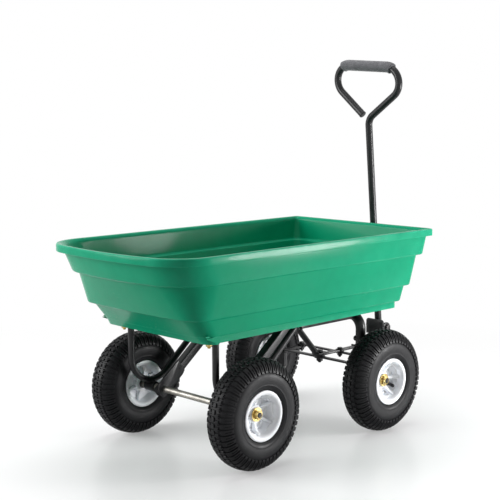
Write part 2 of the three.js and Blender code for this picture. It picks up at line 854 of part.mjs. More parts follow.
add('tie_rod', link(
  tieRodWidth,
  [tieRodX, -hoopHalfSpan],
  [tieRodX, hoopHalfSpan],
  [-hoopHalfSpan, 0, hoopHalfSpan].map((y) => ({ x: tieRodX, y, bore: linkBore, wall: eyeWall - 1 })),
  linkBottom,
  linkTop,
), blackSteel);

// The same shape on the other side of the centre plane.
function mirrored(geometry) {
  const copy = geometry.clone().scale(1, -1, 1);
  copy.index.array.reverse();
  return copy;
}

function knuckleGeometry() {
  const bottom = armTop - knuckleHeight;
  const collar = collarFace - hoopHalfSpan;
  const stub = join(
    crossPost(axleRadius, kingpinBore + weldOverlap, axleHalf - hoopHalfSpan),
    crossPost(axleCollarRadius, collar - axleCollarWidth, collar),
  ).translate(0, 0, axleHeight);
  const arm = link(
    steerArmWidth,
    [0, 0],
    [steerArmLength, 0],
    [{ x: steerArmLength, y: 0, bore: linkBore, wall: eyeWall - 1 }],
    armTop - linkThickness,
    armTop,
  );
  const bore = post(kingpinBore, bottom - cutOverrun, armTop + cutOverrun);
  return cut(join(post(knuckleRadius, bottom, armTop), stub, arm), bore);
}

function kingpinGeometry() {
  const nutTop = armTop - knuckleHeight - clearance;
  const plugTop = hoopTopHeight - hoopBendRadius - kingpinPlugSpare;
  return join(
    post(hoopRadius - hoopWall - 2 * clearance, hoopFoot, plugTop),
    post(kingpinRadius, nutTop - kingpinNutHeight - boltTail, plugTop - cutOverrun),
    post(kingpinNutRadius, nutTop - kingpinNutHeight, nutTop, 6),
  );
}

for (const side of sides) {
  const corner = new THREE.Group();
  corner.position.set(wheelBase, side.sign * hoopHalfSpan, 0);
  cart.add(corner);
  const knuckle = knuckleGeometry();
  add(`knuckle_${side.name}`, side.sign > 0 ? knuckle : mirrored(knuckle), blackSteel, corner);
  add(`kingpin_${side.name}`, kingpinGeometry(), zincSteel, corner);
  add(`tie_rod_bolt_${side.name}`, bolt(
    linkBoltRadius,
    linkTop + clearance,
    armTop - linkThickness - clearance,
  ).translate(steerArmLength, 0, 0), blackSteel, corner);
}

// ---- Drawbar and clevis ----
function drawbarGeometry() {
  const low = linkTop + clearance;
  const rampStart = wheelBase + drawbarRampStart;
  const rampEnd = rampStart + drawbarRampRun;
  const end = wheelBase + drawbarReach;
  const rampShift = linkThickness * Math.tan(Math.atan2(drawbarRise, drawbarRampRun) / 2);
  const outline = polygon([
    [wheelBase, low], [rampStart + rampShift, low], [rampEnd + rampShift, low + drawbarRise],
    [end, low + drawbarRise], [end, drawbarTop + drawbarRise], [rampEnd, drawbarTop + drawbarRise],
    [rampStart, drawbarTop], [wheelBase, drawbarTop],
  ]);
  const pins = [
    { x: wheelBase, bore: pivotBore, wall: pivotEyeWall },
    { x: tieRodX, bore: linkBore, wall: eyeWall },
  ];
  const eyes = pins.map(({ x, bore, wall }) => post(bore + wall, low, drawbarTop).translate(x, 0, 0));
  const holes = pins.map(({ x, bore }) => (
    post(bore, low - cutOverrun, drawbarTop + cutOverrun).translate(x, 0, 0)
  ));
  const half = drawbarWidth / 2;
  return cut(join(sidePlate(outline, -half, half), ...eyes), ...holes);
}
add('drawbar', drawbarGeometry(), blackSteel);

add('steer_pivot_bolt', bolt(
  pivotBoltRadius,
  footTop + clearance,
  linkBottom - clearance,
).translate(wheelBase, 0, 0), blackSteel);
add('tie_rod_centre_bolt', bolt(
  linkBoltRadius,
  drawbarTop + clearance,
  linkBottom - clearance,
).translate(tieRodX, 0, 0), blackSteel);

function earOutline() {
  const shape = new THREE.Shape();
  shape.moveTo(-clevisEarRadius, clevisFloor);
  shape.lineTo(clevisEarRadius, clevisFloor);
  shape.lineTo(clevisEarRadius, handlePivotHeight);
  shape.absarc(0, handlePivotHeight, clevisEarRadius, 0, Math.PI, false);
  shape.closePath();
  return shape;
}

function clevisGeometry() {
  const inner = handleSleeveLength / 2 + clearance;
  const outer = inner + clevisEarThickness;
  const floorTop = clevisFloor + clevisBaseThickness;
  const leanBack = Math.tan(radians(handleLeanDegrees)) * clevisStopHeight;
  const stopFront = -handleTubeRadius - clearance - leanBack - clevisStopPlay;
  const solid = join(
    sidePlate(earOutline(), inner, outer),
    sidePlate(earOutline(), -outer, -inner),
    box([-clevisEarRadius, -outer, clevisFloor], [clevisEarRadius, outer, floorTop]),
    box(
      [stopFront - clevisEarThickness, -outer, clevisFloor],
      [stopFront, outer, handlePivotHeight + clevisStopHeight],
    ),
  );
  const bore = crossPost(handleBoltRadius + clearance, -outer - cutOverrun, outer + cutOverrun)
    .translate(0, 0, handlePivotHeight);
  return cut(solid, bore).translate(handlePivotX, 0, 0);
}
add('clevis', clevisGeometry(), blackSteel);

const handleBoltSeat = handleSleeveLength / 2 + 2 * clearance + clevisEarThickness;
add('handle_bolt', bolt(handleBoltRadius, handleBoltSeat, -handleBoltSeat)
  .rotateX(Math.PI / 2)
  .translate(handlePivotX, 0, handlePivotHeight), zincSteel);

// ---- Handle: a straight shaft bent round into an open triangular loop ----
const handle = new THREE.Group();
handle.position.set(handlePivotX, 0, handlePivotHeight);
handle.rotation.y = -radians(handleLeanDegrees);
cart.add(handle);

const loopTilt = radians(loopTiltDegrees);
const loopSlope = radians(loopSlopeDegrees);
function loopPoint(y, rise) {
  return new THREE.Vector3(
    0,
    y * Math.cos(loopTilt) - rise * Math.sin(loopTilt),
    shaftLength + y * Math.sin(loopTilt) + rise * Math.cos(loopTilt),
  );
}
const loopCornerY = loopRise / Math.tan(loopSlope);
const bendReach = loopBendRadius / Math.tan(loopSlope / 2);
const farCornerY = 2 * bendReach - loopCornerY + gripStraight;
const loopPath = new BentPath([
  new THREE.Vector3(0, 0, handleSleeveRadius / 2),
  new THREE.Vector3(0, 0, shaftLength),
  loopPoint(-loopCornerY, loopRise),
  loopPoint(farCornerY, loopRise),
  loopPoint(
    farCornerY - loopTailLength * Math.cos(loopSlope),
    loopRise - loopTailLength * Math.sin(loopSlope),
  ),
], [shaftBendRadius, loopBendRadius, loopBendRadius], handleBendSteps);

const handleSleeve = crossPost(handleSleeveRadius, -handleSleeveLength / 2, handleSleeveLength / 2);
const handleBore = crossPost(handleBoltRadius + clearance, -handleSleeveLength, handleSleeveLength);
add('handle', cut(
  join(tube(handleTubeRadius, handleTubeWall, loopPath, handleTubeSides), handleSleeve),
  handleBore,
), blackSteel, handle);

// The grip covers the straight between the second and third bends, and a little of each bend.
const secondBendEnd = 2 * (handleBendSteps + 1);
const gripPath = loopPath.part(secondBendEnd - 1, secondBendEnd + 2 + gripBendSteps);
add('grip', tube(
  gripRadius,
  gripRadius - handleTubeRadius - clearance,
  gripPath,
  gripSides,
), greyFoam, handle);

// ---- Tray catch: a hook on a pin ahead of the hoop, and a bar under the tray for it to hold ----
const strikerFaceY = catchPlateThickness / 2 + 2 * clearance + catchEarThickness + clearance;
const strikerTop = trayFloorHeight - clearance;
const strikerPlateBottom = strikerTop - strikerThickness;
const catchReach = strikerBarHeight - catchPinHeight;

function catchBracketGeometry() {
  const inner = catchPlateThickness / 2 + clearance;
  const outer = inner + catchEarThickness;
  const front = catchX + catchBossRadius;
  const low = catchPinHeight - catchBossRadius;
  const ear = polygon([
    [wheelBase, low], [front, low], [front, catchPinHeight + catchBossRadius],
    [wheelBase + 2 * hoopRadius, catchPinHeight + catchBossRadius], [wheelBase, hoopTopHeight],
  ]);
  const cope = crossPost(hoopRadius + clearance, -outer - cutOverrun, outer + cutOverrun, 2 * hoopSides)
    .translate(wheelBase, 0, hoopTopHeight);
  const behind = box([0, -outer - cutOverrun, 0], [wheelBase, outer + cutOverrun, trayRimHeight]);
  const bridge = box(
    [wheelBase, -outer, low],
    [wheelBase + hoopRadius + catchEarThickness, outer, catchPinHeight],
  );
  const bore = crossPost(catchPinRadius + clearance, -outer - cutOverrun, outer + cutOverrun)
    .translate(catchX, 0, catchPinHeight);
  return cut(join(sidePlate(ear, inner, outer), sidePlate(ear, -outer, -inner), bridge), cope, behind, bore);
}
add('catch_bracket', catchBracketGeometry(), blackSteel);

function catchPinGeometry() {
  const outer = catchPlateThickness / 2 + 2 * clearance + catchEarThickness;
  const end = outer + catchPinHeadHeight;
  return join(
    crossPost(catchPinRadius, -end, end),
    crossPost(catchPinHeadRadius, outer, end),
    crossPost(catchPinHeadRadius, -end, -outer),
  ).translate(catchX, 0, catchPinHeight);
}
add('catch_pin', catchPinGeometry(), zincSteel);

// Drawn hooked on the bar, then swung forward off it.
function catchHookGeometry() {
  const half = catchPlateThickness / 2;
  const overBar = catchReach + strikerBarRadius + catchNoseGap;
  const nose = polygon([
    [0, 0], [catchBossRadius, 0], [catchArmReach + catchArmWidth, catchReach],
    [catchArmReach + catchArmWidth, overBar + catchNoseDepth], [-catchNoseTip, overBar + catchNoseDepth],
    [-catchNoseTip, overBar], [catchArmReach, overBar], [catchArmReach, catchReach - strikerBarRadius],
  ]);
  const lever = polygon([
    [0, -catchBossRadius], [catchLeverReach, -catchLeverDrop], [catchLeverReach, 0], [0, catchBossRadius],
  ]);
  const solid = join(
    sidePlate(nose, -half, half),
    sidePlate(lever, -half, half),
    crossPost(catchBossRadius, -half, half),
  );
  return cut(solid, crossPost(catchPinRadius + clearance, -half - cutOverrun, half + cutOverrun));
}
const catchHook = new THREE.Group();
catchHook.position.set(catchX, 0, catchPinHeight);
catchHook.rotation.y = radians(catchReleaseDegrees);
cart.add(catchHook);
add('catch_hook', catchHookGeometry(), blackSteel, catchHook);

function strikerGeometry() {
  const outer = strikerFaceY + catchEarThickness;
  const cheekHalf = strikerCheekWidth / 2;
  const cheek = (from) => box(
    [catchX - cheekHalf, from, strikerBarHeight - strikerBarRadius - weldOverlap],
    [catchX + cheekHalf, from + catchEarThickness, strikerPlateBottom + weldOverlap],
  );
  return join(
    box([catchX - strikerHalfLength, -strikerHalfWidth, strikerPlateBottom],
      [catchX + strikerHalfLength, strikerHalfWidth, strikerTop]),
    cheek(strikerFaceY),
    cheek(-outer),
    crossPost(strikerBarRadius, cutOverrun - outer, outer - cutOverrun)
      .translate(catchX, 0, strikerBarHeight),
  );
}
add('striker', strikerGeometry(), zincSteel);

export default root;
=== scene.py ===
# Garden cart with a tipping poly tray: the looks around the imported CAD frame.
import math
import bpy
import bmesh
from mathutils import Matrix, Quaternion, Vector, kdtree


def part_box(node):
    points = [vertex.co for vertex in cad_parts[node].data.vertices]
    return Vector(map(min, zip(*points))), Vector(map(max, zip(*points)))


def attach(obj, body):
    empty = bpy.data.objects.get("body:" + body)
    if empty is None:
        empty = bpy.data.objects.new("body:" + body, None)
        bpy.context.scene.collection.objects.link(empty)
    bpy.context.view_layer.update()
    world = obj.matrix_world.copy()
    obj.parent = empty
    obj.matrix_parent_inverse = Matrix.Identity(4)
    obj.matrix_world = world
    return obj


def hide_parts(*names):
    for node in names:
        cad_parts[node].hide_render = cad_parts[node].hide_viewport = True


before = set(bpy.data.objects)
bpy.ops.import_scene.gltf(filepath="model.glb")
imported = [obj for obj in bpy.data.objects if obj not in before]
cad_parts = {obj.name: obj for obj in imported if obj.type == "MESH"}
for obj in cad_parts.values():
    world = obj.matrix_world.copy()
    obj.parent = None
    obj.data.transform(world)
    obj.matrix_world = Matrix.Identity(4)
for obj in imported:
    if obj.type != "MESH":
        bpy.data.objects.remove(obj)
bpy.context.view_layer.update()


# Places come from the CAD boxes: x is counted from the rear axle, all in millimetres
def middleOf(node):
    low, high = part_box(node)
    return (low + high) / 2


rearAxle = middleOf("rear_axle")
sides = {"right": -1, "left": 1}
touching = 0.00001


def at(x, y, z):
    return Vector((rearAxle.x + x / 1000, y / 1000, z / 1000))


def fromAxle(point):
    return (point.x - rearAxle.x) * 1000


def mm(value):
    return value / 1000


wheelBase = fromAxle(middleOf("tyre_front_left"))
trayLow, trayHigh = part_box("tray")
trayFloor = trayLow.z * 1000


# modelling by hand, in code
def letGo():
    if bpy.context.mode != "OBJECT":
        bpy.ops.object.mode_set(mode="OBJECT")
    bpy.ops.object.select_all(action="DESELECT")


def pickAll():
    bpy.ops.mesh.select_all(action="SELECT")


def startPiece(name, kind, **settings):
    letGo()
    getattr(bpy.ops.mesh, f"primitive_{kind}_add")(**settings)
    piece = bpy.context.object
    piece.name = piece.data.name = name
    bpy.ops.object.transform_apply(location=True, rotation=True, scale=True)
    bpy.ops.object.mode_set(mode="EDIT")
    bpy.ops.mesh.select_mode(type="VERT")
    pickAll()
    return piece


def only(piece):
    letGo()
    piece.select_set(True)
    bpy.context.view_layer.objects.active = piece


def pick(kind, wanted):
    # selects the corners, edges or faces of the mesh in hand that answer to a test
    mesh = bpy.context.edit_object.data
    bpy.ops.mesh.select_mode(type=kind)
    bpy.ops.mesh.select_all(action="DESELECT")
    shape = bmesh.from_edit_mesh(mesh)
    for thing in {"VERT": shape.verts, "EDGE": shape.edges, "FACE": shape.faces}[kind]:
        if wanted(thing):
            thing.select = True
    shape.select_flush_mode()
    bmesh.update_edit_mesh(mesh)


def joinCorners(gap=touching):
    pickAll()
    bpy.ops.mesh.remove_doubles(threshold=gap)
    pickAll()


def tidyMesh():
    bpy.ops.mesh.select_mode(type="VERT")
    joinCorners()
    bpy.ops.mesh.normals_make_consistent(inside=False)


def push(step):
    bpy.ops.mesh.extrude_region_move(TRANSFORM_OT_translate={"value": tuple(step)})


def drawLine(name, points):
    # one corner, pulled on from point to point
    piece = startPiece(name, "plane", size=0.0001, location=points[0])
    bpy.ops.mesh.merge(type="CENTER")
    addLine(points)
    return piece


def addLine(points):
    here = Vector(points[0])
    for point in points[1:]:
        step = tuple(Vector(point) - here)
        bpy.ops.mesh.extrude_vertices_move(TRANSFORM_OT_translate={"value": step})
        here = Vector(point)


def turnOutline(name, outline, centre=(0, 0, 0), axis="Y", steps=48):
    # a closed outline of (radius, along) in millimetres, turned about a line along Y or Z
    centre, line = Vector(centre), Vector((0, axis == "Y", axis == "Z"))
    points = [centre + Vector((mm(radius), 0, 0)) + line * mm(along) for radius, along in outline]
    piece = drawLine(name, points + points[:1])
    joinCorners(touching / 10)
    bpy.ops.mesh.spin(steps=steps, angle=2 * math.pi, center=tuple(centre), axis=tuple(line))
    tidyMesh()
    bpy.ops.mesh.delete_loose()
    return piece


def runTube(name, corners, bends, section, steps=12):
    # a section face pushed along straight runs and spun round the bends between them
    corners = [Vector(corner) for corner in corners]
    turn = (corners[1] - corners[0]).normalized().to_track_quat("Z", "Y").to_euler()
    if section.get("square"):
        piece = startPiece(name, "plane", size=mm(section["square"]),
                           location=corners[0], rotation=turn)
        bpy.ops.mesh.bevel(offset=mm(section["corner"]), segments=4, affect="VERTICES")
        pickAll()
    else:
        piece = startPiece(name, "circle", radius=mm(section["radius"]),
                           vertices=section.get("sides", 28), fill_type="NGON",
                           location=corners[0], rotation=turn)
    bpy.ops.mesh.select_mode(type="FACE")
    here = corners[0]
    for corner, after, bend in zip(corners[1:], corners[2:], bends):
        before = (corner - here).normalized()
        onward = (after - corner).normalized()
        angle = before.angle(onward)
        reach = mm(bend) * math.tan(angle / 2)
        bendStart = corner - before * reach
        push(bendStart - here)
        axis = before.cross(onward).normalized()
        centre = bendStart + axis.cross(before) * mm(bend)
        bpy.ops.mesh.spin(steps=steps, angle=angle, center=tuple(centre), axis=tuple(-axis))
        here = corner + onward * reach
    push(corners[-1] - here)
    tidyMesh()
    return piece


def softenEdges(piece, width, segments=2, angle=40):
    bevel = piece.modifiers.new("softEdges", "BEVEL")
    bevel.width = mm(width)
    bevel.segments = segments
    bevel.limit_method = "ANGLE"
    bevel.angle_limit = math.radians(angle)
    bevel.harden_normals = False


def cutPlate(name, outline, thickness, *softness):
    # a closed outline filled and pushed through to its thickness
    piece = drawLine(name, list(outline) + [outline[0]])
    joinCorners()
    bpy.ops.mesh.edge_face_add()
    bpy.ops.mesh.select_mode(type="FACE")
    push(thickness)
    tidyMesh()
    softenEdges(piece, *softness)
    return piece


def levelPlate(plan, x, y, z, thick, *softness):
    corners = [at(x + along, y + across, z) for along, across in plan]
    return cutPlate("plate", corners, (0, 0, mm(thick)), *softness)


def uprightPlate(profile, x, y, thick, *softness):
    corners = [at(x + along, y, z) for along, z in profile]
    return cutPlate("plate", corners, (0, mm(thick), 0), *softness)


def arc(centre, radius, fromAngle, toAngle, steps=10):
    angles = [math.radians(fromAngle + (toAngle - fromAngle) * step / steps) for step in range(steps + 1)]
    return [(centre[0] + radius * math.cos(angle), centre[1] + radius * math.sin(angle)) for angle in angles]


def ringOutline(inner, outer, low, high, soft):
    # section of a ring or sleeve with its two outer edges broken
    return [(inner, low), (outer - soft, low), (outer, low + soft), (outer, high - soft),
            (outer - soft, high), (inner, high)]


def mirrored(points):
    return list(points) + [(radius, -along) for radius, along in reversed(points) if along]


def applyAll(piece):
    only(piece)
    for modifier in list(piece.modifiers):
        bpy.ops.object.modifier_apply(modifier=modifier.name)
    bpy.ops.object.transform_apply(location=True, rotation=True, scale=True)


def addTo(piece, *others):
    # further shells become part of the piece
    for other in [piece, *others]:
        applyAll(other)
    only(piece)
    for other in others:
        other.select_set(True)
    bpy.ops.object.join()
    return piece


def copyOf(piece, location=(0, 0, 0), rotation=(0, 0, 0)):
    only(piece)
    bpy.ops.object.duplicate(linked=False)
    copy = bpy.context.object
    copy.location = location
    copy.rotation_euler = rotation
    bpy.ops.object.transform_apply(location=True, rotation=True, scale=True)
    return copy


def moved(model, location=(0, 0, 0), rotation=(0, 0, 0)):
    copy = copyOf(model, location, rotation)
    bpy.data.objects.remove(model)
    return copy


def cover(thing, finish):
    thing.data.materials.clear()
    thing.data.materials.append(finish)


def finishPiece(piece, finish, body, stands=None, name=None, smooth=32):
    # the piece is named after the CAD node it stands for, unless it has a name of its own
    applyAll(piece)
    bpy.ops.object.shade_smooth_by_angle(angle=math.radians(smooth))
    first, *rest = (name or stands).split("_")
    piece.name = piece.data.name = first + "".join(word.title() for word in rest)
    cover(piece, finish)
    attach(piece, body)
    if stands:
        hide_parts(stands)
    return piece


def weldBead(centre, direction, radius, bead):
    # a rippled ring of weld round a tube
    turn = Vector(direction).to_track_quat("Z", "Y").to_euler()
    piece = startPiece("bead", "torus", major_radius=mm(radius), major_segments=48,
                       minor_radius=mm(bead), minor_segments=8, location=centre, rotation=turn)
    axis = Vector(direction).normalized()
    spoke = axis.orthogonal().normalized()
    other = axis.cross(spoke)

    def onRidge(vert):
        out = vert.co - Vector(centre)
        angle = math.atan2(out.dot(other), out.dot(spoke))
        return round((angle + math.pi) / math.radians(7.5)) % 3 == 0

    pick("VERT", onRidge)
    bpy.ops.transform.shrink_fatten(value=-mm(bead * 0.22))
    pickAll()
    bpy.ops.transform.vertex_random(offset=mm(0.12), seed=4)
    return piece


# camera
view = {
    "place": (-1.9598, -1.9834, 0.8243), "yaw": 0.772, "down": 0.128, "roll": 0.003,
    "lens": {"sensor_width": 36, "lens": 80.86, "shift_x": 0.0018, "clip_start": 0.05, "clip_end": 100},
}
camera = bpy.data.objects.new("camera", bpy.data.cameras.new("camera"))
bpy.context.scene.collection.objects.link(camera)
bpy.context.scene.camera = camera
look = Vector((math.cos(view["down"]) * math.sin(view["yaw"]),
               math.cos(view["down"]) * math.cos(view["yaw"]), -math.sin(view["down"])))
camera.location = view["place"]
camera.rotation_mode = "QUATERNION"
camera.rotation_quaternion = Quaternion(look, view["roll"]) @ look.to_track_quat("-Z", "Y")
for setting, value in view["lens"].items():
    setattr(camera.data, setting, value)
print("camera set")


# finishes
def link(tree, value, socket):
    # another node's output is linked, anything else is the socket's own value
    if isinstance(value, bpy.types.NodeSocket):
        tree.links.new(value, socket)
    else:
        socket.default_value = value


def setUp(tree, shader, **settings):
    # each setting names an input of the node or else a property of it
    for name, value in settings.items():
        socket = shader.inputs.get(name.replace("_", " "))
        if socket:
            link(tree, value, socket)
        else:
            setattr(shader, name, value)
    return shader


def node(tree, kind, **settings):
    return setUp(tree, tree.nodes.new("ShaderNode" + kind), **settings)


def newFinish(name, **settings):
    finish = bpy.data.materials.new(name)
    finish.use_nodes = True
    tree = finish.node_tree
    return finish, tree, setUp(tree, tree.nodes["Principled BSDF"], **settings)


def remap(tree, value, low, high, fromLow=0.3, fromHigh=0.7):
    return node(tree, "MapRange", Value=value, From_Min=fromLow, From_Max=fromHigh,
                To_Min=low, To_Max=high).outputs["Result"]


def blendColours(tree, share, *colours):
    mix = node(tree, "Mix", data_type="RGBA")
    link(tree, share, mix.inputs[0])
    for socket, colour in zip(mix.inputs[6:8], colours):
        link(tree, (*colour, 1) if isinstance(colour, tuple) else colour, socket)
    return mix.outputs[2]


def reckon(tree, operation, *values):
    worked = node(tree, "Math", operation=operation)
    for socket, value in zip(worked.inputs, values):
        link(tree, value, socket)
    return worked.outputs[0]


# each pattern waits for the material it is drawn in
def grain(scale, detail, stretch=(1, 1, 1), roughness=0.5):
    def draw(tree):
        place = node(tree, "TexCoord").outputs["Object"]
        place = node(tree, "Mapping", Vector=place, Scale=stretch).outputs["Vector"]
        noise = node(tree, "TexNoise", Vector=place, Scale=scale, Detail=detail, Roughness=roughness)
        return noise.outputs["Fac"]
    return draw


def spread(pattern, low, high, fromLow=0.3, fromHigh=0.7):
    return lambda tree: remap(tree, pattern(tree), low, high, fromLow, fromHigh)


def both(first, second):
    return lambda tree: reckon(tree, "MULTIPLY", first(tree), second(tree))


def foamCells(tree):
    place = node(tree, "TexCoord").outputs["Object"]
    return node(tree, "TexVoronoi", Vector=place, Scale=900).outputs["Distance"]


def facingUp(tree):
    normal = node(tree, "NewGeometry").outputs["Normal"]
    return node(tree, "SeparateXYZ", Vector=normal).outputs["Z"]


def pointed(tree):
    return node(tree, "NewGeometry").outputs["Pointiness"]


def mixFinish(name, tones, layers, rough, relief, scuffs=None, **settings):
    # two tones, thin layers over them, then roughness and relief, the broadest relief first
    finish, tree, shader = newFinish(name, **settings)
    pattern, dark, light = tones
    colour = blendColours(tree, spread(pattern, 0, 1)(tree), dark, light)
    for share, layer in layers:
        colour = blendColours(tree, share(tree), colour, layer)
    roughness = spread(*rough)(tree)
    if scuffs:
        roughness = reckon(tree, "ADD", roughness, scuffs(tree))
    relieved = {}
    for height, strength, depth in relief:
        bump = node(tree, "Bump", Height=height(tree), Strength=strength, Distance=mm(depth), **relieved)
        relieved["Normal"] = bump.outputs["Normal"]
    setUp(tree, shader, Base_Color=colour, Roughness=roughness, **relieved)
    return finish


dragMarks = grain(30, 6, (1, 6, 9), 0.7)
green = mixFinish(
    "mouldedGreen", (grain(5, 3), (0.001, 0.26, 0.134), (0.002, 0.3, 0.154)),
    [(spread(grain(38, 5), 0, 0.35), (0.004, 0.33, 0.172)),
     (both(spread(pointed, 0, 1, 0.505, 0.56), spread(grain(22, 6), 0.15, 0.8)), (0.04, 0.45, 0.27)),
     (both(spread(facingUp, 0, 1, 0.6, 1), spread(grain(60, 8), 0, 0.07)), (0.2, 0.32, 0.25))],
    (grain(12, 6), 0.17, 0.27),
    [(grain(9, 1), 0.25, 1.6), (dragMarks, 0.12, 0.12), (grain(1100, 2), 0.16, 0.1)],
    scuffs=spread(dragMarks, 0, 0.12, 0.6, 0.8),
    IOR=1.45, Specular_IOR_Level=0.08, Coat_Weight=0.06, Coat_Roughness=0.06)
black = mixFinish(
    "blackPowderCoat", (grain(24, 5), (0.008, 0.008, 0.009), (0.014, 0.014, 0.0155)),
    [(both(spread(facingUp, 0, 1, 0.3, 1), spread(grain(70, 8), 0, 0.1)), (0.08, 0.078, 0.075)),
     (both(spread(pointed, 0, 1, 0.53, 0.62), spread(grain(90, 6), 0, 0.6, 0.45, 0.7)), (0.06, 0.06, 0.062))],
    (grain(45, 6), 0.26, 0.44),
    [(grain(160, 2), 0.12, 0.4), (grain(900, 2), 0.2, 0.12)],
    IOR=1.52, Specular_IOR_Level=0.2, Coat_Weight=0.14, Coat_Roughness=0.2)
zinc = mixFinish(
    "brightZinc", (grain(60, 6), (0.22, 0.21, 0.19), (0.36, 0.345, 0.315)),
    [(spread(grain(240, 4), 0, 0.6, 0.6, 0.75), (0.2, 0.18, 0.155))],
    (grain(90, 6, (1, 0.15, 1)), 0.34, 0.52),
    [(grain(500, 4, (1, 0.05, 1)), 0.2, 0.1)],
    Metallic=1)
gold = mixFinish(
    "yellowZinc", (grain(130, 3), (0.36, 0.25, 0.09), (0.6, 0.48, 0.2)),
    [(spread(grain(75, 3), 0, 0.5, 0.5, 0.7), (0.32, 0.32, 0.17)),
     (spread(grain(170, 3), 0, 0.4, 0.55, 0.7), (0.42, 0.22, 0.13))],
    (grain(200, 5), 0.2, 0.38),
    [(grain(700, 3), 0.15, 0.08)],
    Metallic=1)
darkEnd = mixFinish(
    "darkSteel", (grain(160, 5), (0.02, 0.019, 0.02), (0.055, 0.05, 0.05)), [],
    (grain(120, 5), 0.3, 0.5),
    [(grain(600, 4), 0.2, 0.1)],
    Metallic=0.7)
rubber = mixFinish(
    "tyreRubber", (grain(18, 6), (0.0055, 0.0055, 0.0065), (0.0105, 0.0105, 0.012)),
    [(both(spread(grain(55, 8, (1, 1, 1), 0.65), 0, 0.14, 0.45, 0.75), spread(grain(7, 2), 0.3, 1)),
      (0.03, 0.029, 0.029)),
     (both(spread(pointed, 0, 1, 0.52, 0.6), spread(grain(120, 5), 0.1, 0.5)), (0.03, 0.03, 0.033))],
    (grain(40, 6), 0.36, 0.56),
    [(grain(220, 3), 0.12, 0.3), (grain(1500, 2), 0.25, 0.12)],
    IOR=1.48, Specular_IOR_Level=0.18)
nylon = mixFinish(
    "whiteNylon", (grain(25, 5), (0.93, 0.95, 0.99), (0.95, 0.97, 1)),
    [(spread(grain(110, 8, (1, 1, 1), 0.7), 0, 0.35, 0.58, 0.8), (0.55, 0.57, 0.62))],
    (grain(60, 5), 0.3, 0.45),
    [(grain(40, 2), 0.1, 0.4), (grain(1200, 2), 0.12, 0.08)],
    IOR=1.5, Subsurface_Weight=0.25, Subsurface_Scale=0.008, Subsurface_Radius=(1, 0.95, 0.9))
moulding = mixFinish(
    "blackMoulding", (grain(80, 5), (0.012, 0.012, 0.013), (0.024, 0.024, 0.026)), [],
    (grain(150, 5), 0.38, 0.55),
    [(grain(1300, 2), 0.25, 0.1)],
    IOR=1.48, Specular_IOR_Level=0.2)
foam = mixFinish(
    "gripFoam", (grain(60, 5), (0.08, 0.08, 0.088), (0.12, 0.12, 0.13)),
    # painted shade: the pits of the foam, sunk by the same cells in the relief below, are painted near black
    [(spread(foamCells, 0.5, 0, 0.05, 0.35), (0.008, 0.008, 0.009))],
    (grain(90, 5), 0.62, 0.82),
    [(grain(120, 3), 0.2, 0.5), (foamCells, 0.5, 0.3)],
    IOR=1.4, Sheen_Weight=0.25, Sheen_Roughness=0.5)
print("finishes mixed")


# tray
tray = {
    "lip": 18, "lipRoof": 5, "wall": 4, "land": 10, "neck": 11, "noseNeck": 14,
    # height, draft at the sides and at the nose, ledge at the sides and at the nose
    "bands": ((48, 4, 20, 11, 10), (79, 13, 48, 10, 11), (41, 8, 39, 9, 1.5), (16.5, 0, 16, 0, 0)),
    "ledgeDrop": 1.5, "recessStart": -86, "recessRun": 12, "recessSlant": 38, "recessMiddle": 200,
    "noseCorners": (106, 112, 50, 38, 26), "tailCorners": (14, 24, 20, 18, 18), "noseBows": (13, 11, 7, 3, 2),
    "rimRound": 4.5, "ledgeRound": 3.2, "skirtRound": 1.3,
}
rimTop = trayHigh.z * 1000
noseEnd = (trayLow.x - rearAxle.x) * 1000
tailEnd = (trayHigh.x - rearAxle.x) * 1000
halfWidth = trayHigh.y * 1000


def halfOutline(ring):
    # the left half of one level, from the middle of the nose round to the middle of the tail
    nose, side = noseEnd + ring["nose"], halfWidth - ring["side"]
    base, tail = halfWidth - ring["base"], tailEnd - ring["base"]
    bow = tray["noseBows"][ring["level"]]
    noseRadius = tray["noseCorners"][ring["level"]] - ring["shrink"]
    tailRadius = tray["tailCorners"][ring["level"]] - ring["shrink"]
    slope = math.atan(2 * bow / (side - noseRadius))
    edge = side - noseRadius * (1 - math.sin(slope))
    points = [(nose + bow * (step / 4) ** 2, edge * step / 4) for step in range(4)]
    centre = (nose + bow + noseRadius * math.cos(slope), side - noseRadius)
    points += arc(centre, noseRadius, 180 - math.degrees(slope), 90, 12)
    for step in range(6):
        share = step / 5
        ease = share * share * (3 - 2 * share)
        points.append((ring["recess"] + tray["recessRun"] * share, side + (base - side) * ease))
    points.append((tray["recessMiddle"], base))
    points += arc((tail - tailRadius, base - tailRadius), tailRadius, 90, 0, 6)
    points.append((tail, 0))
    return [at(x, y, ring["z"]) for x, y in points]


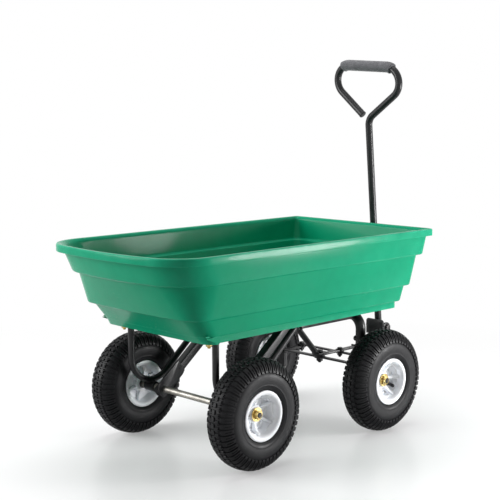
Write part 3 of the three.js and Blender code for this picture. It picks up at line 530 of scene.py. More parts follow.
def trayRings():
    # from the floor outside, up over the lip and down to the floor inside
    walls = []
    z, side, nose = rimTop - tray["lip"], tray["neck"], tray["noseNeck"]
    for index, (height, draft, noseDraft, step, noseStep) in enumerate(tray["bands"]):
        lowest = index == len(tray["bands"]) - 1
        recess = tray["bands"][index - 1][3] if lowest else 0
        # the recess starts further forward at its top edge, so its end wall leans
        recessTop = tray["recessStart"] - (tray["recessSlant"] if lowest else 0)
        walls.append({"z": z, "nose": nose, "side": side - recess, "base": side, "level": index,
                      "shrink": 0, "round": tray["ledgeRound"], "recess": recessTop})
        z, nose, side = z - height, nose + noseDraft, side + draft
        walls.append({"z": z, "nose": nose, "side": side - recess, "base": side, "level": index + 1,
                      "shrink": 0, "round": tray["ledgeRound"], "recess": tray["recessStart"]})
        z, nose, side = z - tray["ledgeDrop"], nose + noseStep, side + step

    def inward(ring, inset, z, softness):
        return {**ring, "z": z, "nose": ring["nose"] + inset, "side": ring["side"] + inset,
                "base": ring["base"] + inset, "shrink": inset, "round": softness}

    lip = {"z": rimTop, "nose": 0, "side": 0, "base": 0, "level": 0, "shrink": 0, "round": 0,
           "recess": tray["recessStart"]}
    wall, foot, roof = tray["wall"], rimTop - tray["lip"], rimTop - tray["lipRoof"]
    rings = list(reversed(walls))
    rings += [
        inward(walls[0], 0, roof, 2),
        inward(lip, wall, roof, 2),
        inward(lip, wall, foot, tray["skirtRound"]),
        inward(lip, 0, foot, tray["skirtRound"]),
        inward(lip, 0, rimTop, tray["rimRound"]),
        inward(lip, tray["land"], rimTop, 4),
        inward(walls[0], wall, rimTop - 6, 5),
    ]
    rings += [inward(ring, wall, ring["z"] + wall, tray["ledgeRound"]) for ring in walls[1:]]
    return rings


def roundedColumn(points, radii):
    # one line of points down the wall, with each of its corners rounded
    rounded = [points[0]]
    for before, corner, after, radius in zip(points, points[1:], points[2:], radii[1:]):
        back, on = before - corner, after - corner
        reach = min(mm(radius), back.length * 0.45, on.length * 0.45)
        start, end = corner + back.normalized() * reach, corner + on.normalized() * reach
        for share in (0, 0.3, 0.7, 1):
            rounded.append(start * (1 - share) ** 2 + corner * 2 * share * (1 - share) + end * share ** 2)
    rounded.append(points[-1])
    return rounded


def makeTray():
    rings = trayRings()
    columns = list(zip(*[halfOutline(ring) for ring in rings]))
    columns = [roundedColumn(column, [ring["round"] for ring in rings]) for column in columns]
    loops = [list(loop) for loop in zip(*columns)]
    piece = drawLine("greenTray", loops[0])
    for loop in loops[1:]:
        bpy.ops.mesh.primitive_plane_add(size=0.0001, location=loop[0])
        bpy.ops.mesh.merge(type="CENTER")
        addLine(loop)
    # the loops of corners are told apart by place
    places = kdtree.KDTree(sum(len(loop) for loop in loops))
    owner = []
    for index, loop in enumerate(loops):
        for point in loop:
            places.insert(point, len(owner))
            owner.append(index)
    places.balance()
    for index in range(len(loops) - 1):
        pick("VERT", lambda vert: owner[places.find(vert.co)[1]] in (index, index + 1))
        bpy.ops.mesh.bridge_edge_loops()
    for index in (0, len(loops) - 1):
        pick("VERT", lambda vert: owner[places.find(vert.co)[1]] == index)
        bpy.ops.mesh.edge_face_add()
    mirror = piece.modifiers.new("otherHalf", "MIRROR")
    mirror.use_axis = (False, True, False)
    mirror.merge_threshold = 0.0001
    applyAll(piece)
    bpy.ops.object.mode_set(mode="EDIT")
    tidyMesh()
    finishPiece(piece, green, "tipper", "tray", "greenTray", smooth=28)


makeTray()
print("tray made")


# wheels
tyre = {
    # half outline, outside then inside, as (radius, along the axle)
    "sideWall": ((51.6, 27.4), (59.4, 28.6), (60.3, 30.6), (62.5, 32.2), (65.2, 33.6), (66, 34.3),
                 (66.8, 34.5), (67.6, 34.9), (70.5, 35.5), (71.3, 36), (72.1, 35.8), (76, 36.5),
                 (84, 36.9), (91, 36.6), (95.5, 35.7), (98.5, 34)),
    "treadBase": ((103.5, 32.8), (108.5, 31.1), (113, 28.8), (117.1, 26), (120.6, 22.4), (122.9, 18.6),
                  (124.6, 15.4), (125.6, 11.4), (126.2, 7.4), (126.6, 4.4), (126.75, 0)),
    "cavity": ((51.6, 19), (66, 27), (80, 31), (100, 30), (112, 22), (117, 10), (117.5, 0)),
    # columns of faces to a pitch, how many of them make a block, and the stagger of one side
    "pitches": 54, "columns": 8, "block": 6, "stagger": 4, "staggerFrom": -5.8,
    "sway": 0.9, "swayFrom": 121, "swayHalf": 19,
    "blocksFrom": 100.5, "shoulderTo": 119, "shoulderFrom": 19.6, "midRow": (8, 16.6), "centreRow": 5.2,
    "blockGap": 0.35, "blockHeight": 2.7, "blockCrown": 0.5, "blockEdge": 0.5,
    "pocketBand": (104.5, 117.5), "pocketFrom": 24, "pocketRim": 0.3, "pocketDepth": 1.5,
    "pocketColumns": (2, 3), "pocketFacing": 0.2, "pocketLeast": 0.000004,
}
rim = {
    # section of the dish, one bead with half of the well, and the back of the dish
    "dish": ((11, 5), (19.2, 5), (20.2, 4.2), (20.8, 2), (21.2, -1), (22.4, -2.6), (31, -3), (34.2, -3),
             (35, -2.2), (35.4, -1), (36.2, -0.6), (41, -0.2), (42.2, 1.2), (43.2, 4), (43.8, 12.4),
             (44.4, 13.6), (46.2, 14.4), (46.8, 24), (47.8, 28.2)),
    "bead": ((49.4, 31.2), (52, 32.6), (54.5, 33), (57, 32.9), (58.4, 32.2), (59, 31), (59, 29.8),
             (58, 29.3), (51.6, 29.2), (51, 28.6), (50.6, 14), (48.5, 8)),
    "back": ((47.4, -28.6), (46.3, -24), (44.5, -13), (43, -10), (40, -9), (22.4, -9), (21.2, -10),
             (20.2, -22.8), (19.2, -24), (11, -24)),
    "rib": ((19, -8.5), (19, 2.6), (23, 4.6), (28, 6.2), (34, 9), (40, 13.6), (44, 17.6), (47.4, 21),
            (47.4, -8.5)),
    "backRib": ((19, -8.5), (19, -21), (24, -20), (32, -17.5), (40, -16), (47.4, -17), (47.4, -8.5)),
    "ribs": 6, "ribWidth": 6.4, "ribSoftness": 1.6,
}
hub = {
    "face": 7.8, "bore": 8.4, "washer": 16.5, "washerThick": 2, "end": 6.3, "pitch": 1.25,
    "nutCorner": 11.6, "nutHeight": 8, "nutWall": 3.1,
    "collar": ((7, 5), (9.4, 5.6), (9.4, 7.2), (8.6, 7.9), (7.2, 8), (6.7, 7.4)),
}
valve = {
    "stem": ((0, 0.2), (6.2, 0.2), (6.2, 1.4), (5.2, 2), (4.6, 3.6), (4.2, 7.5), (3.9, 11), (0, 11)),
    "cap": ((0, 11.2), (4.1, 11.2), (4.4, 11.8), (4.4, 18.4), (3.7, 20), (2.2, 20.8), (0, 21)),
    "knurl": (11.5, 18.6), "knurlFrom": 4, "knurlDepth": 0.35, "steps": 32, "out": 34, "back": -3, "lean": 12,
}
wheels = {"rear_left": (1, 12), "rear_right": (-1, 3), "front_left": (1, 26), "front_right": (-1, 17)}


def ringPlace(point):
    return math.hypot(point.x, point.z) * 1000, point.y * 1000


def makeTyre():
    outside = mirrored(tyre["sideWall"] + tyre["treadBase"])
    inside = mirrored(tyre["cavity"])
    piece = turnOutline("tyre", outside + inside[::-1], steps=tyre["pitches"] * tyre["columns"])
    turnPerColumn = 360 / (tyre["pitches"] * tyre["columns"])

    def column(place):
        return math.degrees(math.atan2(place.z, place.x)) / turnPerColumn

    # the grooves wander from side to side
    for phase in range(tyre["columns"]):
        def inTread(vert):
            radius, along = ringPlace(vert.co)
            return radius > tyre["swayFrom"] and abs(along) < tyre["swayHalf"] \
                and round(column(vert.co)) % tyre["columns"] == phase

        pick("VERT", inTread)
        sway = tyre["sway"] * math.sin(2 * math.pi * phase / tyre["columns"])
        bpy.ops.transform.translate(value=(0, mm(sway), 0))

    def inBlock(face):
        place = face.calc_center_median()
        radius, along = ringPlace(place)
        stagger = tyre["stagger"] if along < tyre["staggerFrom"] else 0
        phase = (math.floor(column(place)) + stagger) % tyre["columns"]
        width, (midFrom, midTo) = abs(along), tyre["midRow"]
        if radius < tyre["blocksFrom"]:
            return False
        if radius < tyre["shoulderTo"] or width > tyre["shoulderFrom"]:
            return phase < tyre["block"]
        if midFrom < width < midTo:
            return (phase + tyre["stagger"]) % tyre["columns"] < tyre["block"]
        return width < tyre["centreRow"] and phase < tyre["block"]

    pick("FACE", inBlock)
    bpy.ops.mesh.inset(thickness=mm(tyre["blockGap"]), depth=mm(tyre["blockHeight"]))
    bpy.ops.mesh.inset(thickness=mm(tyre["blockEdge"]), depth=mm(tyre["blockCrown"]))

    # each shoulder block has a pocket in its outer face
    def inPocket(face):
        place = face.calc_center_median()
        radius, along = ringPlace(place)
        phase = (math.floor(column(place)) + (tyre["stagger"] if along < 0 else 0)) % tyre["columns"]
        low, high = tyre["pocketBand"]
        return low < radius < high and abs(along) > tyre["pocketFrom"] and phase in tyre["pocketColumns"] \
            and abs(face.normal.y) > tyre["pocketFacing"] and face.calc_area() > tyre["pocketLeast"]

    pick("FACE", inPocket)
    bpy.ops.mesh.inset(thickness=mm(tyre["pocketRim"]), depth=mm(-tyre["pocketDepth"]))
    return piece


def makeRim():
    piece = turnOutline("rim", [*rim["dish"], *mirrored(rim["bead"]), *rim["back"]], steps=96)
    half, ribs = mm(rim["ribWidth"] / 2), []
    for outline in (rim["rib"], rim["backRib"]):
        rib = cutPlate("rib", [(mm(x), mm(y), -half) for x, y in outline], (0, 0, 2 * half),
                       rim["ribSoftness"], 3, 50)
        applyAll(rib)
        turns = [2 * math.pi * index / rim["ribs"] for index in range(rim["ribs"])]
        ribs += [copyOf(rib, rotation=(0, turn, 0)) for turn in turns]
        bpy.data.objects.remove(rib)
    return addTo(piece, *ribs)


def makeHubNut():
    # washer, hexagon nut with its chamfers and a locking collar, about the wheel's middle
    top = hub["face"] + hub["washerThick"]
    washer = turnOutline("hubNut", ringOutline(hub["bore"], hub["washer"], hub["face"], top, 0.5), steps=64)
    nut = startPiece("nut", "cylinder", vertices=6, radius=mm(hub["nutCorner"]),
                     depth=mm(hub["nutHeight"] - 2), location=(0, mm(top + hub["nutHeight"] / 2 - 1), 0),
                     rotation=(math.pi / 2, 0, 0))
    pick("FACE", lambda face: abs(face.normal.y) > 0.9)
    bpy.ops.mesh.inset(thickness=mm(hub["nutWall"]))
    bpy.ops.mesh.delete(type="FACE")
    pick("EDGE", lambda edge: len(edge.link_faces) == 1)
    bpy.ops.mesh.bridge_edge_loops()
    tidyMesh()
    softenEdges(nut, 0.9, 3, 30)
    collar = turnOutline("collar", [(radius, top + along) for radius, along in hub["collar"]])
    return addTo(washer, nut, collar)


def ridges(first, count, depth):
    # the thread of an axle's end, from the height first down
    starts = [first - ridge * hub["pitch"] for ridge in range(count)]
    return [point for start in starts for point in ((hub["end"], start), (hub["end"] - depth, start - 0.62))]


def makeAxleEnd():
    # its tip at the origin, running back along -Y
    tip = hub["end"]
    outline = [(0, 0), (tip - 1.4, 0), (tip - 0.3, -1), *ridges(-1.4, 10, 0.75),
               (tip, -14), (tip, -24), (0, -24)]
    return turnOutline("threads", outline, steps=40)


def makeValve():
    # rubber stem and its cap, standing along Y
    stem = turnOutline("stem", valve["stem"], steps=valve["steps"])
    cap = turnOutline("cap", valve["cap"], steps=valve["steps"])

    def onRib(vert):
        radius, along = ringPlace(vert.co)
        low, high = valve["knurl"]
        step = round(math.degrees(math.atan2(vert.co.z, vert.co.x)) * valve["steps"] / 360)
        return low < along < high and radius > valve["knurlFrom"] and step % 2 == 0

    pick("VERT", onRib)
    bpy.ops.transform.shrink_fatten(value=mm(-valve["knurlDepth"]))
    foot = (mm(valve["out"]), mm(valve["back"]), 0)
    return moved(addTo(stem, cap), foot, (math.radians(valve["lean"]), 0, 0))


def placeWheels():
    models = {"tyre": (makeTyre(), rubber, 38), "rim": (makeRim(), nylon, 35),
              "hub_nut": (makeHubNut(), gold, 30), "valve": (makeValve(), moulding, 35)}
    for place, (side, roll) in wheels.items():
        centre, valveSpot = middleOf(f"tyre_{place}"), middleOf(f"valve_{place}")
        valveTurn = math.atan2(-(valveSpot.z - centre.z), side * (valveSpot.x - centre.x))
        ribTurn = valveTurn - math.pi / rim["ribs"]
        turns = {"tyre": math.radians(roll), "rim": ribTurn, "hub_nut": ribTurn + roll, "valve": valveTurn}
        for kind, (model, finish, smooth) in models.items():
            spun = copyOf(model, rotation=(0, turns[kind], 0))
            settled = moved(spun, centre, (0, 0, 0 if side > 0 else math.pi))
            finishPiece(settled, finish, f"{place}_wheel", f"{kind}_{place}", smooth=smooth)
        cover(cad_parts[f"bush_{place}"], moulding)
    for model, _, _ in models.values():
        bpy.data.objects.remove(model)


placeWheels()
print("wheels made")


# fasteners, in shares of the thread's radius, but the last two in millimetres
fastener = {"head": 1.3, "nut": 1.6, "corner": 1.8, "washer": 2.1, "washerThick": 1.2, "tail": 4}
# in shares of the corner radius
hexagon = {"chamfer": 0.16, "crown": 0.05, "softness": 0.06}


def makeHexagon(corner, height, base):
    # stands on the height base, its top edge turned off
    piece = startPiece("hexagon", "cylinder", vertices=6, radius=mm(corner),
                       depth=mm(height), location=(0, 0, mm(base + height / 2)))
    pick("FACE", lambda face: face.normal.z > 0.9)
    bpy.ops.mesh.inset(thickness=mm(corner * hexagon["chamfer"]))
    bpy.ops.transform.translate(value=(0, 0, mm(corner * hexagon["crown"])))
    softenEdges(piece, corner * hexagon["softness"], 3, 20)
    return piece


def makeWasher(inner, outer, base, thick):
    return turnOutline("washer", ringOutline(inner, outer, base, base + thick, 0.3), axis="Z", steps=40)


def threadedRod(radius, top, threadTop, bottom, pitch=1.25):
    outline = [(0, top), (radius, top), (radius, threadTop)]
    along = threadTop
    while along - pitch > bottom + 1:
        outline += [(radius - pitch * 0.5, along - pitch / 2), (radius, along - pitch)]
        along -= pitch
    return outline + [(radius - 1, bottom), (0, bottom)]


def makeBolt(radius, headSeat, nutSeat):
    # head, washers, threaded shank and nut along Z, about the origin
    head, nut, washer, thick = (fastener[part] for part in ("head", "nut", "washer", "washerThick"))
    corner, foot = radius * fastener["corner"], nutSeat - radius * nut
    rod = threadedRod(radius * 0.97, headSeat + 2, nutSeat + 1, foot - fastener["tail"])
    return addTo(turnOutline("shank", rod, axis="Z", steps=32),
                 makeHexagon(corner, radius * head - thick - 0.4, headSeat + thick),
                 makeHexagon(corner, radius * nut - thick, foot),
                 makeWasher(radius, radius * washer, headSeat, thick),
                 makeWasher(radius, radius * washer, nutSeat - thick, thick))


def placeBolt(node, radius, headSeat, nutSeat, x, y, body):
    bolt = moved(makeBolt(radius, headSeat, nutSeat), at(x, y, 0), (0, 0, x + y))
    finishPiece(bolt, black, body, node, smooth=30)


# chassis
chassis = {
    "rail": {"size": 22, "corner": 2.8, "y": halfWidth - 130, "knee": 200, "drop": 2, "bend": 40, "tail": 14,
             "end": wheelBase - 7, "plugPlay": 1.6, "plugIn": 10},
    "gusset": {"thick": 4, "length": 76, "above": 25.5, "below": 13, "chamfer": 12, "tail": 17, "slant": 20,
               "top": 4, "back": 20, "heel": 6, "seams": (-10, 10), "seamFrom": 18},
    "hoop": {"radius": 13, "y": halfWidth - 104, "bend": 36, "foot": 158.3},
    # on the inner side of each leg of the hoop: height, steps, outline
    "fittings": ((205, 24, ((0, 3), (4.2, 3), (4.6, 1.5), (4.6, -3), (2.6, -3.6), (2.6, -16), (2, -17),
                            (0, -17))),
                 (225, 32, ((0, 2), (7.2, 2), (7.6, 0.8), (7.4, -4), (6, -6.5), (3.2, -8), (0, -8.4)))),
    "axle": {"radius": 8, "end": 232.6, "shoulder": 217, "collarRadius": 12, "collarWidth": 3,
             "collarFace": 188.2},
    "brace": {"radius": 8, "behindHoop": 15, "crossbar": 125, "footLength": 34, "footWidth": 28,
              "footThick": 4.5},
    "crossTie": {"width": 12, "eye": 14.3, "thick": 5},
}
railHeight = trayFloor - 11.5
hoopTop = trayFloor - 13.5
linkTop = 158
axleHeight = rearAxle.z * 1000
hoopY = chassis["hoop"]["y"]
upwards = (0, 0, 1)


def linkOutline(width, eyes):
    # plan of a flat bar that widens round each of its eyes, as (along, across)
    half = width / 2
    upper = []
    for index, (along, radius) in enumerate(eyes):
        bite = math.degrees(math.asin(half / radius))
        start = 180 - bite if index else 180
        end = bite if index < len(eyes) - 1 else 0
        upper += arc((along, 0), radius, start, end, 14)
    return upper + [(along, -across) for along, across in reversed(upper[1:-1])]


def crossLink(x, width, eye, thick):
    # a flat bar from side to side with an eye at each end and one in the middle
    plan = [(x, y) for y, x in linkOutline(width, ((-hoopY, eye), (0, eye), (hoopY, eye)))]
    return levelPlate(plan, x, 0, linkTop - thick, thick, 0.6, 2, 40)


def makeHoop():
    size = chassis["hoop"]
    corners = [at(wheelBase, side * hoopY, z) for side, z in
               ((-1, size["foot"]), (-1, hoopTop), (1, hoopTop), (1, size["foot"]))]
    hoop = runTube("frontHoop", corners, [size["bend"]] * 2, {"radius": size["radius"]}, 16)
    parts = [weldBead(at(wheelBase, side * hoopY, size["foot"] + 2), upwards, size["radius"] - 0.3, 1.7)
             for side in sides.values()]
    for side in sides.values():
        for height, steps, outline in chassis["fittings"]:
            parts.append(moved(turnOutline("fitting", outline, steps=steps),
                               at(wheelBase, side * (hoopY - size["radius"]), height),
                               (0, 0, math.pi if side < 0 else 0)))
    finishPiece(addTo(hoop, *parts), black, "chassis", "front_hoop", smooth=35)


def railPoint(along, over=0):
    # along the sloping part of a rail from the axle, and square to it
    start = Vector((0, 0, axleHeight - chassis["rail"]["drop"]))
    heading = (Vector((chassis["rail"]["knee"], 0, railHeight)) - start).normalized()
    across = Vector((-heading.z, 0, heading.x))
    return start + heading * along + across * over


def makeRail(place, side):
    size = chassis["rail"]
    y = side * size["y"]
    start = railPoint(-size["tail"])
    corners = [at(start.x, y, start.z), at(size["knee"], y, railHeight), at(size["end"], y, railHeight)]
    rail = runTube("rail", corners, [size["bend"]], {"square": size["size"], "corner": size["corner"]}, 12)
    heading = (corners[1] - corners[0]).normalized()
    plug = startPiece("plug", "cube", size=mm(size["size"] - size["plugPlay"]),
                      location=corners[0] + heading * mm(size["plugIn"]),
                      rotation=heading.to_track_quat("Z", "Y").to_euler())
    pick("FACE", lambda face: face.normal.dot(heading) < -0.9)
    bpy.ops.mesh.inset(thickness=mm(2.4))
    bpy.ops.transform.translate(value=tuple(-heading * mm(size["plugPlay"])))
    softenEdges(plug, 0.8, 3, 20)
    bead = weldBead(at(size["end"] - 6, y, railHeight), (1, 0, 0), size["size"] * 0.56, 1.6)
    finishPiece(addTo(rail, plug, bead), black, "chassis", f"rail_{place}", smooth=35)


def makeGusset(place, side):
    size = chassis["gusset"]
    inner = chassis["rail"]["y"] - chassis["rail"]["size"] / 2 - 0.3 - size["thick"]
    y = inner if side > 0 else -inner - size["thick"]
    low, high, length, tail = -size["below"], size["above"], size["length"], -size["tail"]
    top, back, heel = size["top"], size["back"], size["heel"]
    outline = arc((length - top, high - top), top, 0, 90, 6) \
        + arc((tail + size["slant"] + 2, high - back), back, 90, 150, 8) \
        + arc((tail + heel, low + heel), heel, 180, 270, 6) \
        + [(length - size["chamfer"], low), (length, low + size["chamfer"] / 3)]
    corners = [railPoint(*point) for point in outline]
    plate = uprightPlate([(corner.x, corner.z) for corner in corners], 0, y, size["thick"], 0.7, 2, 30)
    seams = []
    for over in size["seams"]:
        ends = [railPoint(along, over) for along in (size["seamFrom"], length - top)]
        outer = y + (size["thick"] + 0.4 if side > 0 else -0.4)
        ends = [at(end.x, outer, end.z) for end in ends]
        seams.append(runTube("seam", ends, [], {"radius": 1.5, "sides": 8}))
    finishPiece(addTo(plate, *seams), black, "chassis", f"axle_gusset_{place}")


def makeAxle():
    size = chassis["axle"]
    radius, end, face = size["radius"], size["shoulder"], size["collarFace"]
    shoulder = ((0, end), (radius - 0.5, end), (radius, end - 0.6))
    axle = turnOutline("axle", mirrored(shoulder), centre=rearAxle, steps=48)
    finishPiece(axle, zinc, "chassis", "rear_axle", smooth=30)
    # black collars and black threaded ends, both sides alike
    section = ringOutline(radius, size["collarRadius"], face - size["collarWidth"], face, 0.4)
    collar = turnOutline("collar", section, steps=40)
    addTo(collar, moved(makeAxleEnd(), (0, mm(size["end"]), 0)))
    far = copyOf(collar, rearAxle)
    near = moved(collar, rearAxle, (0, 0, math.pi))
    finishPiece(addTo(near, far), darkEnd, "chassis", name="axleCollars", smooth=30)


def makeBrace():
    size = chassis["brace"]
    footBottom = linkTop + 0.6 + 5
    foot, top = wheelBase - size["behindHoop"], wheelBase - size["crossbar"]
    brace = runTube("centreBrace", [at(foot + 1, 0, footBottom + 4), at(top + 6, 0, railHeight - 8)], [],
                    {"radius": size["radius"]}, 2)
    heel, toe, half = foot - 4, foot - 4 + size["footLength"], size["footWidth"] / 2
    plan = [(heel, -half + 3), (heel + 3, -half), *arc((toe - 8, 0), half, -90, 90, 10),
            (heel + 3, half), (heel, half - 3)]
    plate = levelPlate(plan, 0, 0, footBottom, size["footThick"], 0.6, 2, 30)
    heading = (at(top, 0, railHeight) - at(foot, 0, footBottom)).normalized()
    bead = weldBead(at(foot - 1, 0, footBottom + 6.5), heading, size["radius"] + 0.6, 1.8)
    finishPiece(addTo(brace, plate, bead), black, "chassis", "centre_brace")


def makeCrossTie():
    size = chassis["crossTie"]
    tie = crossLink(wheelBase, size["width"], size["eye"], size["thick"])
    finishPiece(tie, black, "chassis", "cross_tie")


makeHoop()
for place, side in sides.items():
    makeRail(place, side)
    makeGusset(place, side)
makeAxle()
makeBrace()
makeCrossTie()
print("chassis made")


# tray legs
leg = {
    "y": halfWidth - 93, "radius": 8, "post": -63, "bend": 66, "slope": 41, "crown": axleHeight + 16.5,
    "bore": 8.4, "sleeve": 13, "sleeveLength": 34, "tabLength": 42, "tabWidth": 24, "tabThick": 4,
    "tabCorner": 5, "boltInset": 14, "boltSeat": trayFloor + 4.3, "boltRadius": 4, "nutCorner": 7.4,
    "nutHeight": 5.3, "boltWasher": 8.6, "boltEnd": 10.8,
    "boltHead": ((0, 0), (10, 0), (9.8, 0.8), (8.4, 2.3), (5.8, 3.4), (2.6, 3.9), (0, 4)),
}
tabTop = trayFloor - 0.3
tabBottom = tabTop - leg["tabThick"]


def makeTrayBolt():
    # a flat round head inside the tray, washer and nut under the tab
    seat = leg["boltSeat"]
    dome = [(radius, seat + rise) for radius, rise in leg["boltHead"]]
    head = turnOutline("head", dome, axis="Z", steps=36)
    radius, height, washerFoot = leg["boltRadius"], leg["nutHeight"], tabBottom - 1.5
    rod = threadedRod(radius - 0.1, seat + 1, tabBottom - 1, tabBottom - leg["boltEnd"])
    return addTo(head, turnOutline("shank", rod, axis="Z", steps=28),
                 makeHexagon(leg["nutCorner"], height, washerFoot - height),
                 makeWasher(radius, leg["boltWasher"], washerFoot, fastener["washerThick"]))


def makeLeg(place, side):
    y, post, radius, bend = side * leg["y"], leg["post"], leg["radius"], leg["bend"]
    slope = math.tan(math.radians(leg["slope"]))
    base = leg["crown"] + bend - bend / math.cos(math.radians(leg["slope"])) - (post + bend) * slope
    top = (tabBottom - base) / slope
    knee = at(post, y, base + post * slope)
    tube = runTube("trayLeg", [at(post, y, tabBottom + 1), knee, at(top, y, tabBottom + 1)], [bend],
                   {"radius": radius}, 24)
    half = leg["sleeveLength"] / 2
    parts = [turnOutline("sleeve", ringOutline(leg["bore"], leg["sleeve"], -half, half, 0.8),
                         centre=at(0, y, axleHeight), steps=40)]
    half, corner, reach = leg["tabWidth"] / 2, leg["tabCorner"], leg["tabLength"] - radius
    for start, end in ((post - reach, post + radius), (top - radius, top + reach)):
        plan = arc((start + corner, half - corner), corner, 180, 90, 5) \
            + arc((end - corner, half - corner), corner, 90, 0, 5)
        plan += [(x, -across) for x, across in reversed(plan)]
        parts.append(levelPlate(plan, 0, y, tabBottom, leg["tabThick"], 0.7, 2, 40))
    slopeHeading = Vector((1, 0, slope)).normalized()
    parts += [weldBead(at(post, y, tabBottom - 1), upwards, radius + 0.4, 1.7),
              weldBead(at(top - 1.5, y, tabBottom - 1.6), slopeHeading, radius + 1.4, 1.9),
              weldBead(at(0, y, axleHeight + leg["sleeve"] + 1), upwards, radius + 0.8, 1.8)]
    finishPiece(addTo(tube, *parts), black, "tipper", f"tray_leg_{place}", smooth=35)
    for spot, x, finish in (("nose", post - reach + leg["boltInset"], gold),
                            ("middle", top + reach - leg["boltInset"], darkEnd)):
        bolt = moved(makeTrayBolt(), at(x, y, 0), (0, 0, x))
        finishPiece(bolt, finish, "tipper", f"tray_bolt_{spot}_{place}", smooth=30)


for place, side in sides.items():
    makeLeg(place, side)
print("tray legs made")


# steering
steering = {
    "armLength": 82, "armWidth": 16, "tieWidth": 10, "tieEye": 11.3, "barWidth": 16, "barEye": 14.3,
    "barTieEye": 12.3, "thick": 5, "rampStart": 150, "rampRun": 40, "rise": 20, "barEnd": 261,
    "bendSoftness": 4.5, "sleeve": 15, "sleeveBore": 6.4, "sleeveHeight": 46, "kingpin": 6, "kingpinTop": 200,
}
tieRodX = wheelBase + steering["armLength"]
armTop = linkTop - 5.3
drawbarLow = linkTop + 0.3


def makeTieRod():
    rod = crossLink(tieRodX, steering["tieWidth"], steering["tieEye"], steering["thick"])
    finishPiece(rod, black, "track_rod", "tie_rod")


def makeDrawbar():
    half, thick = steering["barWidth"] / 2, steering["thick"]
    low, high = drawbarLow, drawbarLow + steering["rise"]
    start = wheelBase + steering["rampStart"]
    end = start + steering["rampRun"]
    shift = thick * math.tan(math.atan2(steering["rise"], steering["rampRun"]) / 2)
    tip = wheelBase + steering["barEnd"]
    profile = [(wheelBase, low), (start + shift, low), (end + shift, high), (tip, high), (tip, high + thick),
               (end, high + thick), (start, low + thick), (wheelBase, low + thick)]
    bar = uprightPlate(profile, 0, -half, 2 * half, 0.6, 2, 50)

    def atBend(edge):
        place = fromAxle((edge.verts[0].co + edge.verts[1].co) / 2)
        across = abs(edge.verts[0].co.y - edge.verts[1].co.y) > mm(half)
        return across and start - 3 < place < end + 5

    pick("EDGE", atBend)
    bpy.ops.mesh.bevel(offset=mm(steering["bendSoftness"]), segments=5)
    applyAll(bar)
    eyes = [turnOutline("eye", ringOutline(0, radius, low, low + thick, 0.6), centre=at(x, 0, 0), axis="Z")
            for x, radius in ((wheelBase, steering["barEye"]), (tieRodX, steering["barTieEye"]))]
    finishPiece(addTo(bar, *eyes), black, "steering_bar", "drawbar")


def stubOutline():
    # from the threaded tip back into the knuckle's sleeve, with its collar
    axle = chassis["axle"]
    radius, collar, tip = axle["radius"], axle["collarRadius"], hub["end"]
    reach, face = axle["end"] - hoopY, axle["collarFace"] - hoopY
    back = face - axle["collarWidth"]
    return [(0, reach), (tip - 1.4, reach), (tip, reach - 1.2), *ridges(reach - 1.6, 9, 0.7),
            (tip, reach - 14.1), (radius, reach - 15.6),
            *reversed(ringOutline(radius, collar, back, face, 0.4)), (radius, 9), (0, 9)]


def makeKnuckle(place, side):
    y, radius, thick = side * hoopY, steering["sleeve"], steering["thick"]
    bottom = armTop - steering["sleeveHeight"]
    sleeve = turnOutline("knuckle", ringOutline(steering["sleeveBore"], radius, bottom, armTop, 1),
                         centre=at(wheelBase, y, 0), axis="Z")
    stub = moved(turnOutline("stub", stubOutline(), steps=40), at(wheelBase, y, axleHeight),
                 (0, 0, 0 if side > 0 else math.pi))
    eyes = ((0, radius + 1), (steering["armLength"], steering["tieEye"]))
    plan = linkOutline(steering["armWidth"] - 0.01, eyes)
    arm = levelPlate(plan, wheelBase, y, armTop - thick, thick, 0.6, 2, 40)
    web = uprightPlate([(radius - 2, armTop - thick), (radius - 2, armTop - 26), (radius + 3, armTop - 24),
                        (radius + 26, armTop - thick - 3), (radius + 27, armTop - thick)],
                       wheelBase, y - 2, 4, 0.5, 2, 40)
    beads = [weldBead(at(wheelBase, y, armTop - thick - 1), upwards, radius + 0.3, 1.6),
             weldBead(at(wheelBase, y + side * (radius - 1), axleHeight), (0, 1, 0),
                      chassis["axle"]["radius"] + 1.5, 2.2)]
    addTo(sleeve, stub, arm, web, *beads)
    finishPiece(sleeve, black, f"{place}_knuckle", f"knuckle_{place}", smooth=35)

    nutTop = bottom - 0.3
    rod = threadedRod(steering["kingpin"] - 0.1, steering["kingpinTop"], bottom - 1, nutTop - 12.5, 1.5)
    pin = addTo(turnOutline("kingpin", rod, axis="Z", steps=32), makeHexagon(10.6, 7, nutTop - 8.5),
                makeWasher(6.1, 12.5, nutTop - 1.5, 1.5))
    finishPiece(moved(pin, at(wheelBase, y, 0)), zinc, "chassis", f"kingpin_{place}", smooth=30)
    placeBolt(f"tie_rod_bolt_{place}", 4, linkTop + 0.3, armTop - thick - 0.3, tieRodX, y, f"{place}_knuckle")


makeTieRod()
makeDrawbar()
for place, side in sides.items():
    makeKnuckle(place, side)
placeBolt("steer_pivot_bolt", 5, linkTop + 10.4, linkTop - 5.3, wheelBase, 0, "chassis")
placeBolt("tie_rod_centre_bolt", 4, linkTop + 5.6, linkTop - 5.3, tieRodX, 0, "steering_bar")
print("steering made")


# handle
handle = {
    "reach": 247, "pivot": 205, "lean": 5.2, "radius": 9.7, "sleeve": 12, "sleeveBore": 5.2,
    "sleeveLength": 50, "shaft": 584, "tilt": 3.6, "slope": 38, "rise": 143, "loopBend": 42, "shaftBend": 34,
    "straight": 129, "tail": 216, "grip": 14.7, "gripBefore": 28, "gripAfter": 30, "gripSoftness": 3.6,
}
pivotX = wheelBase + handle["reach"]


def onHandle(x, y, z):
    # from the handle's own pivot, leaned back
    lean = math.radians(handle["lean"])
    return at(pivotX + x * math.cos(lean) - z * math.sin(lean), y,
              handle["pivot"] + x * math.sin(lean) + z * math.cos(lean))


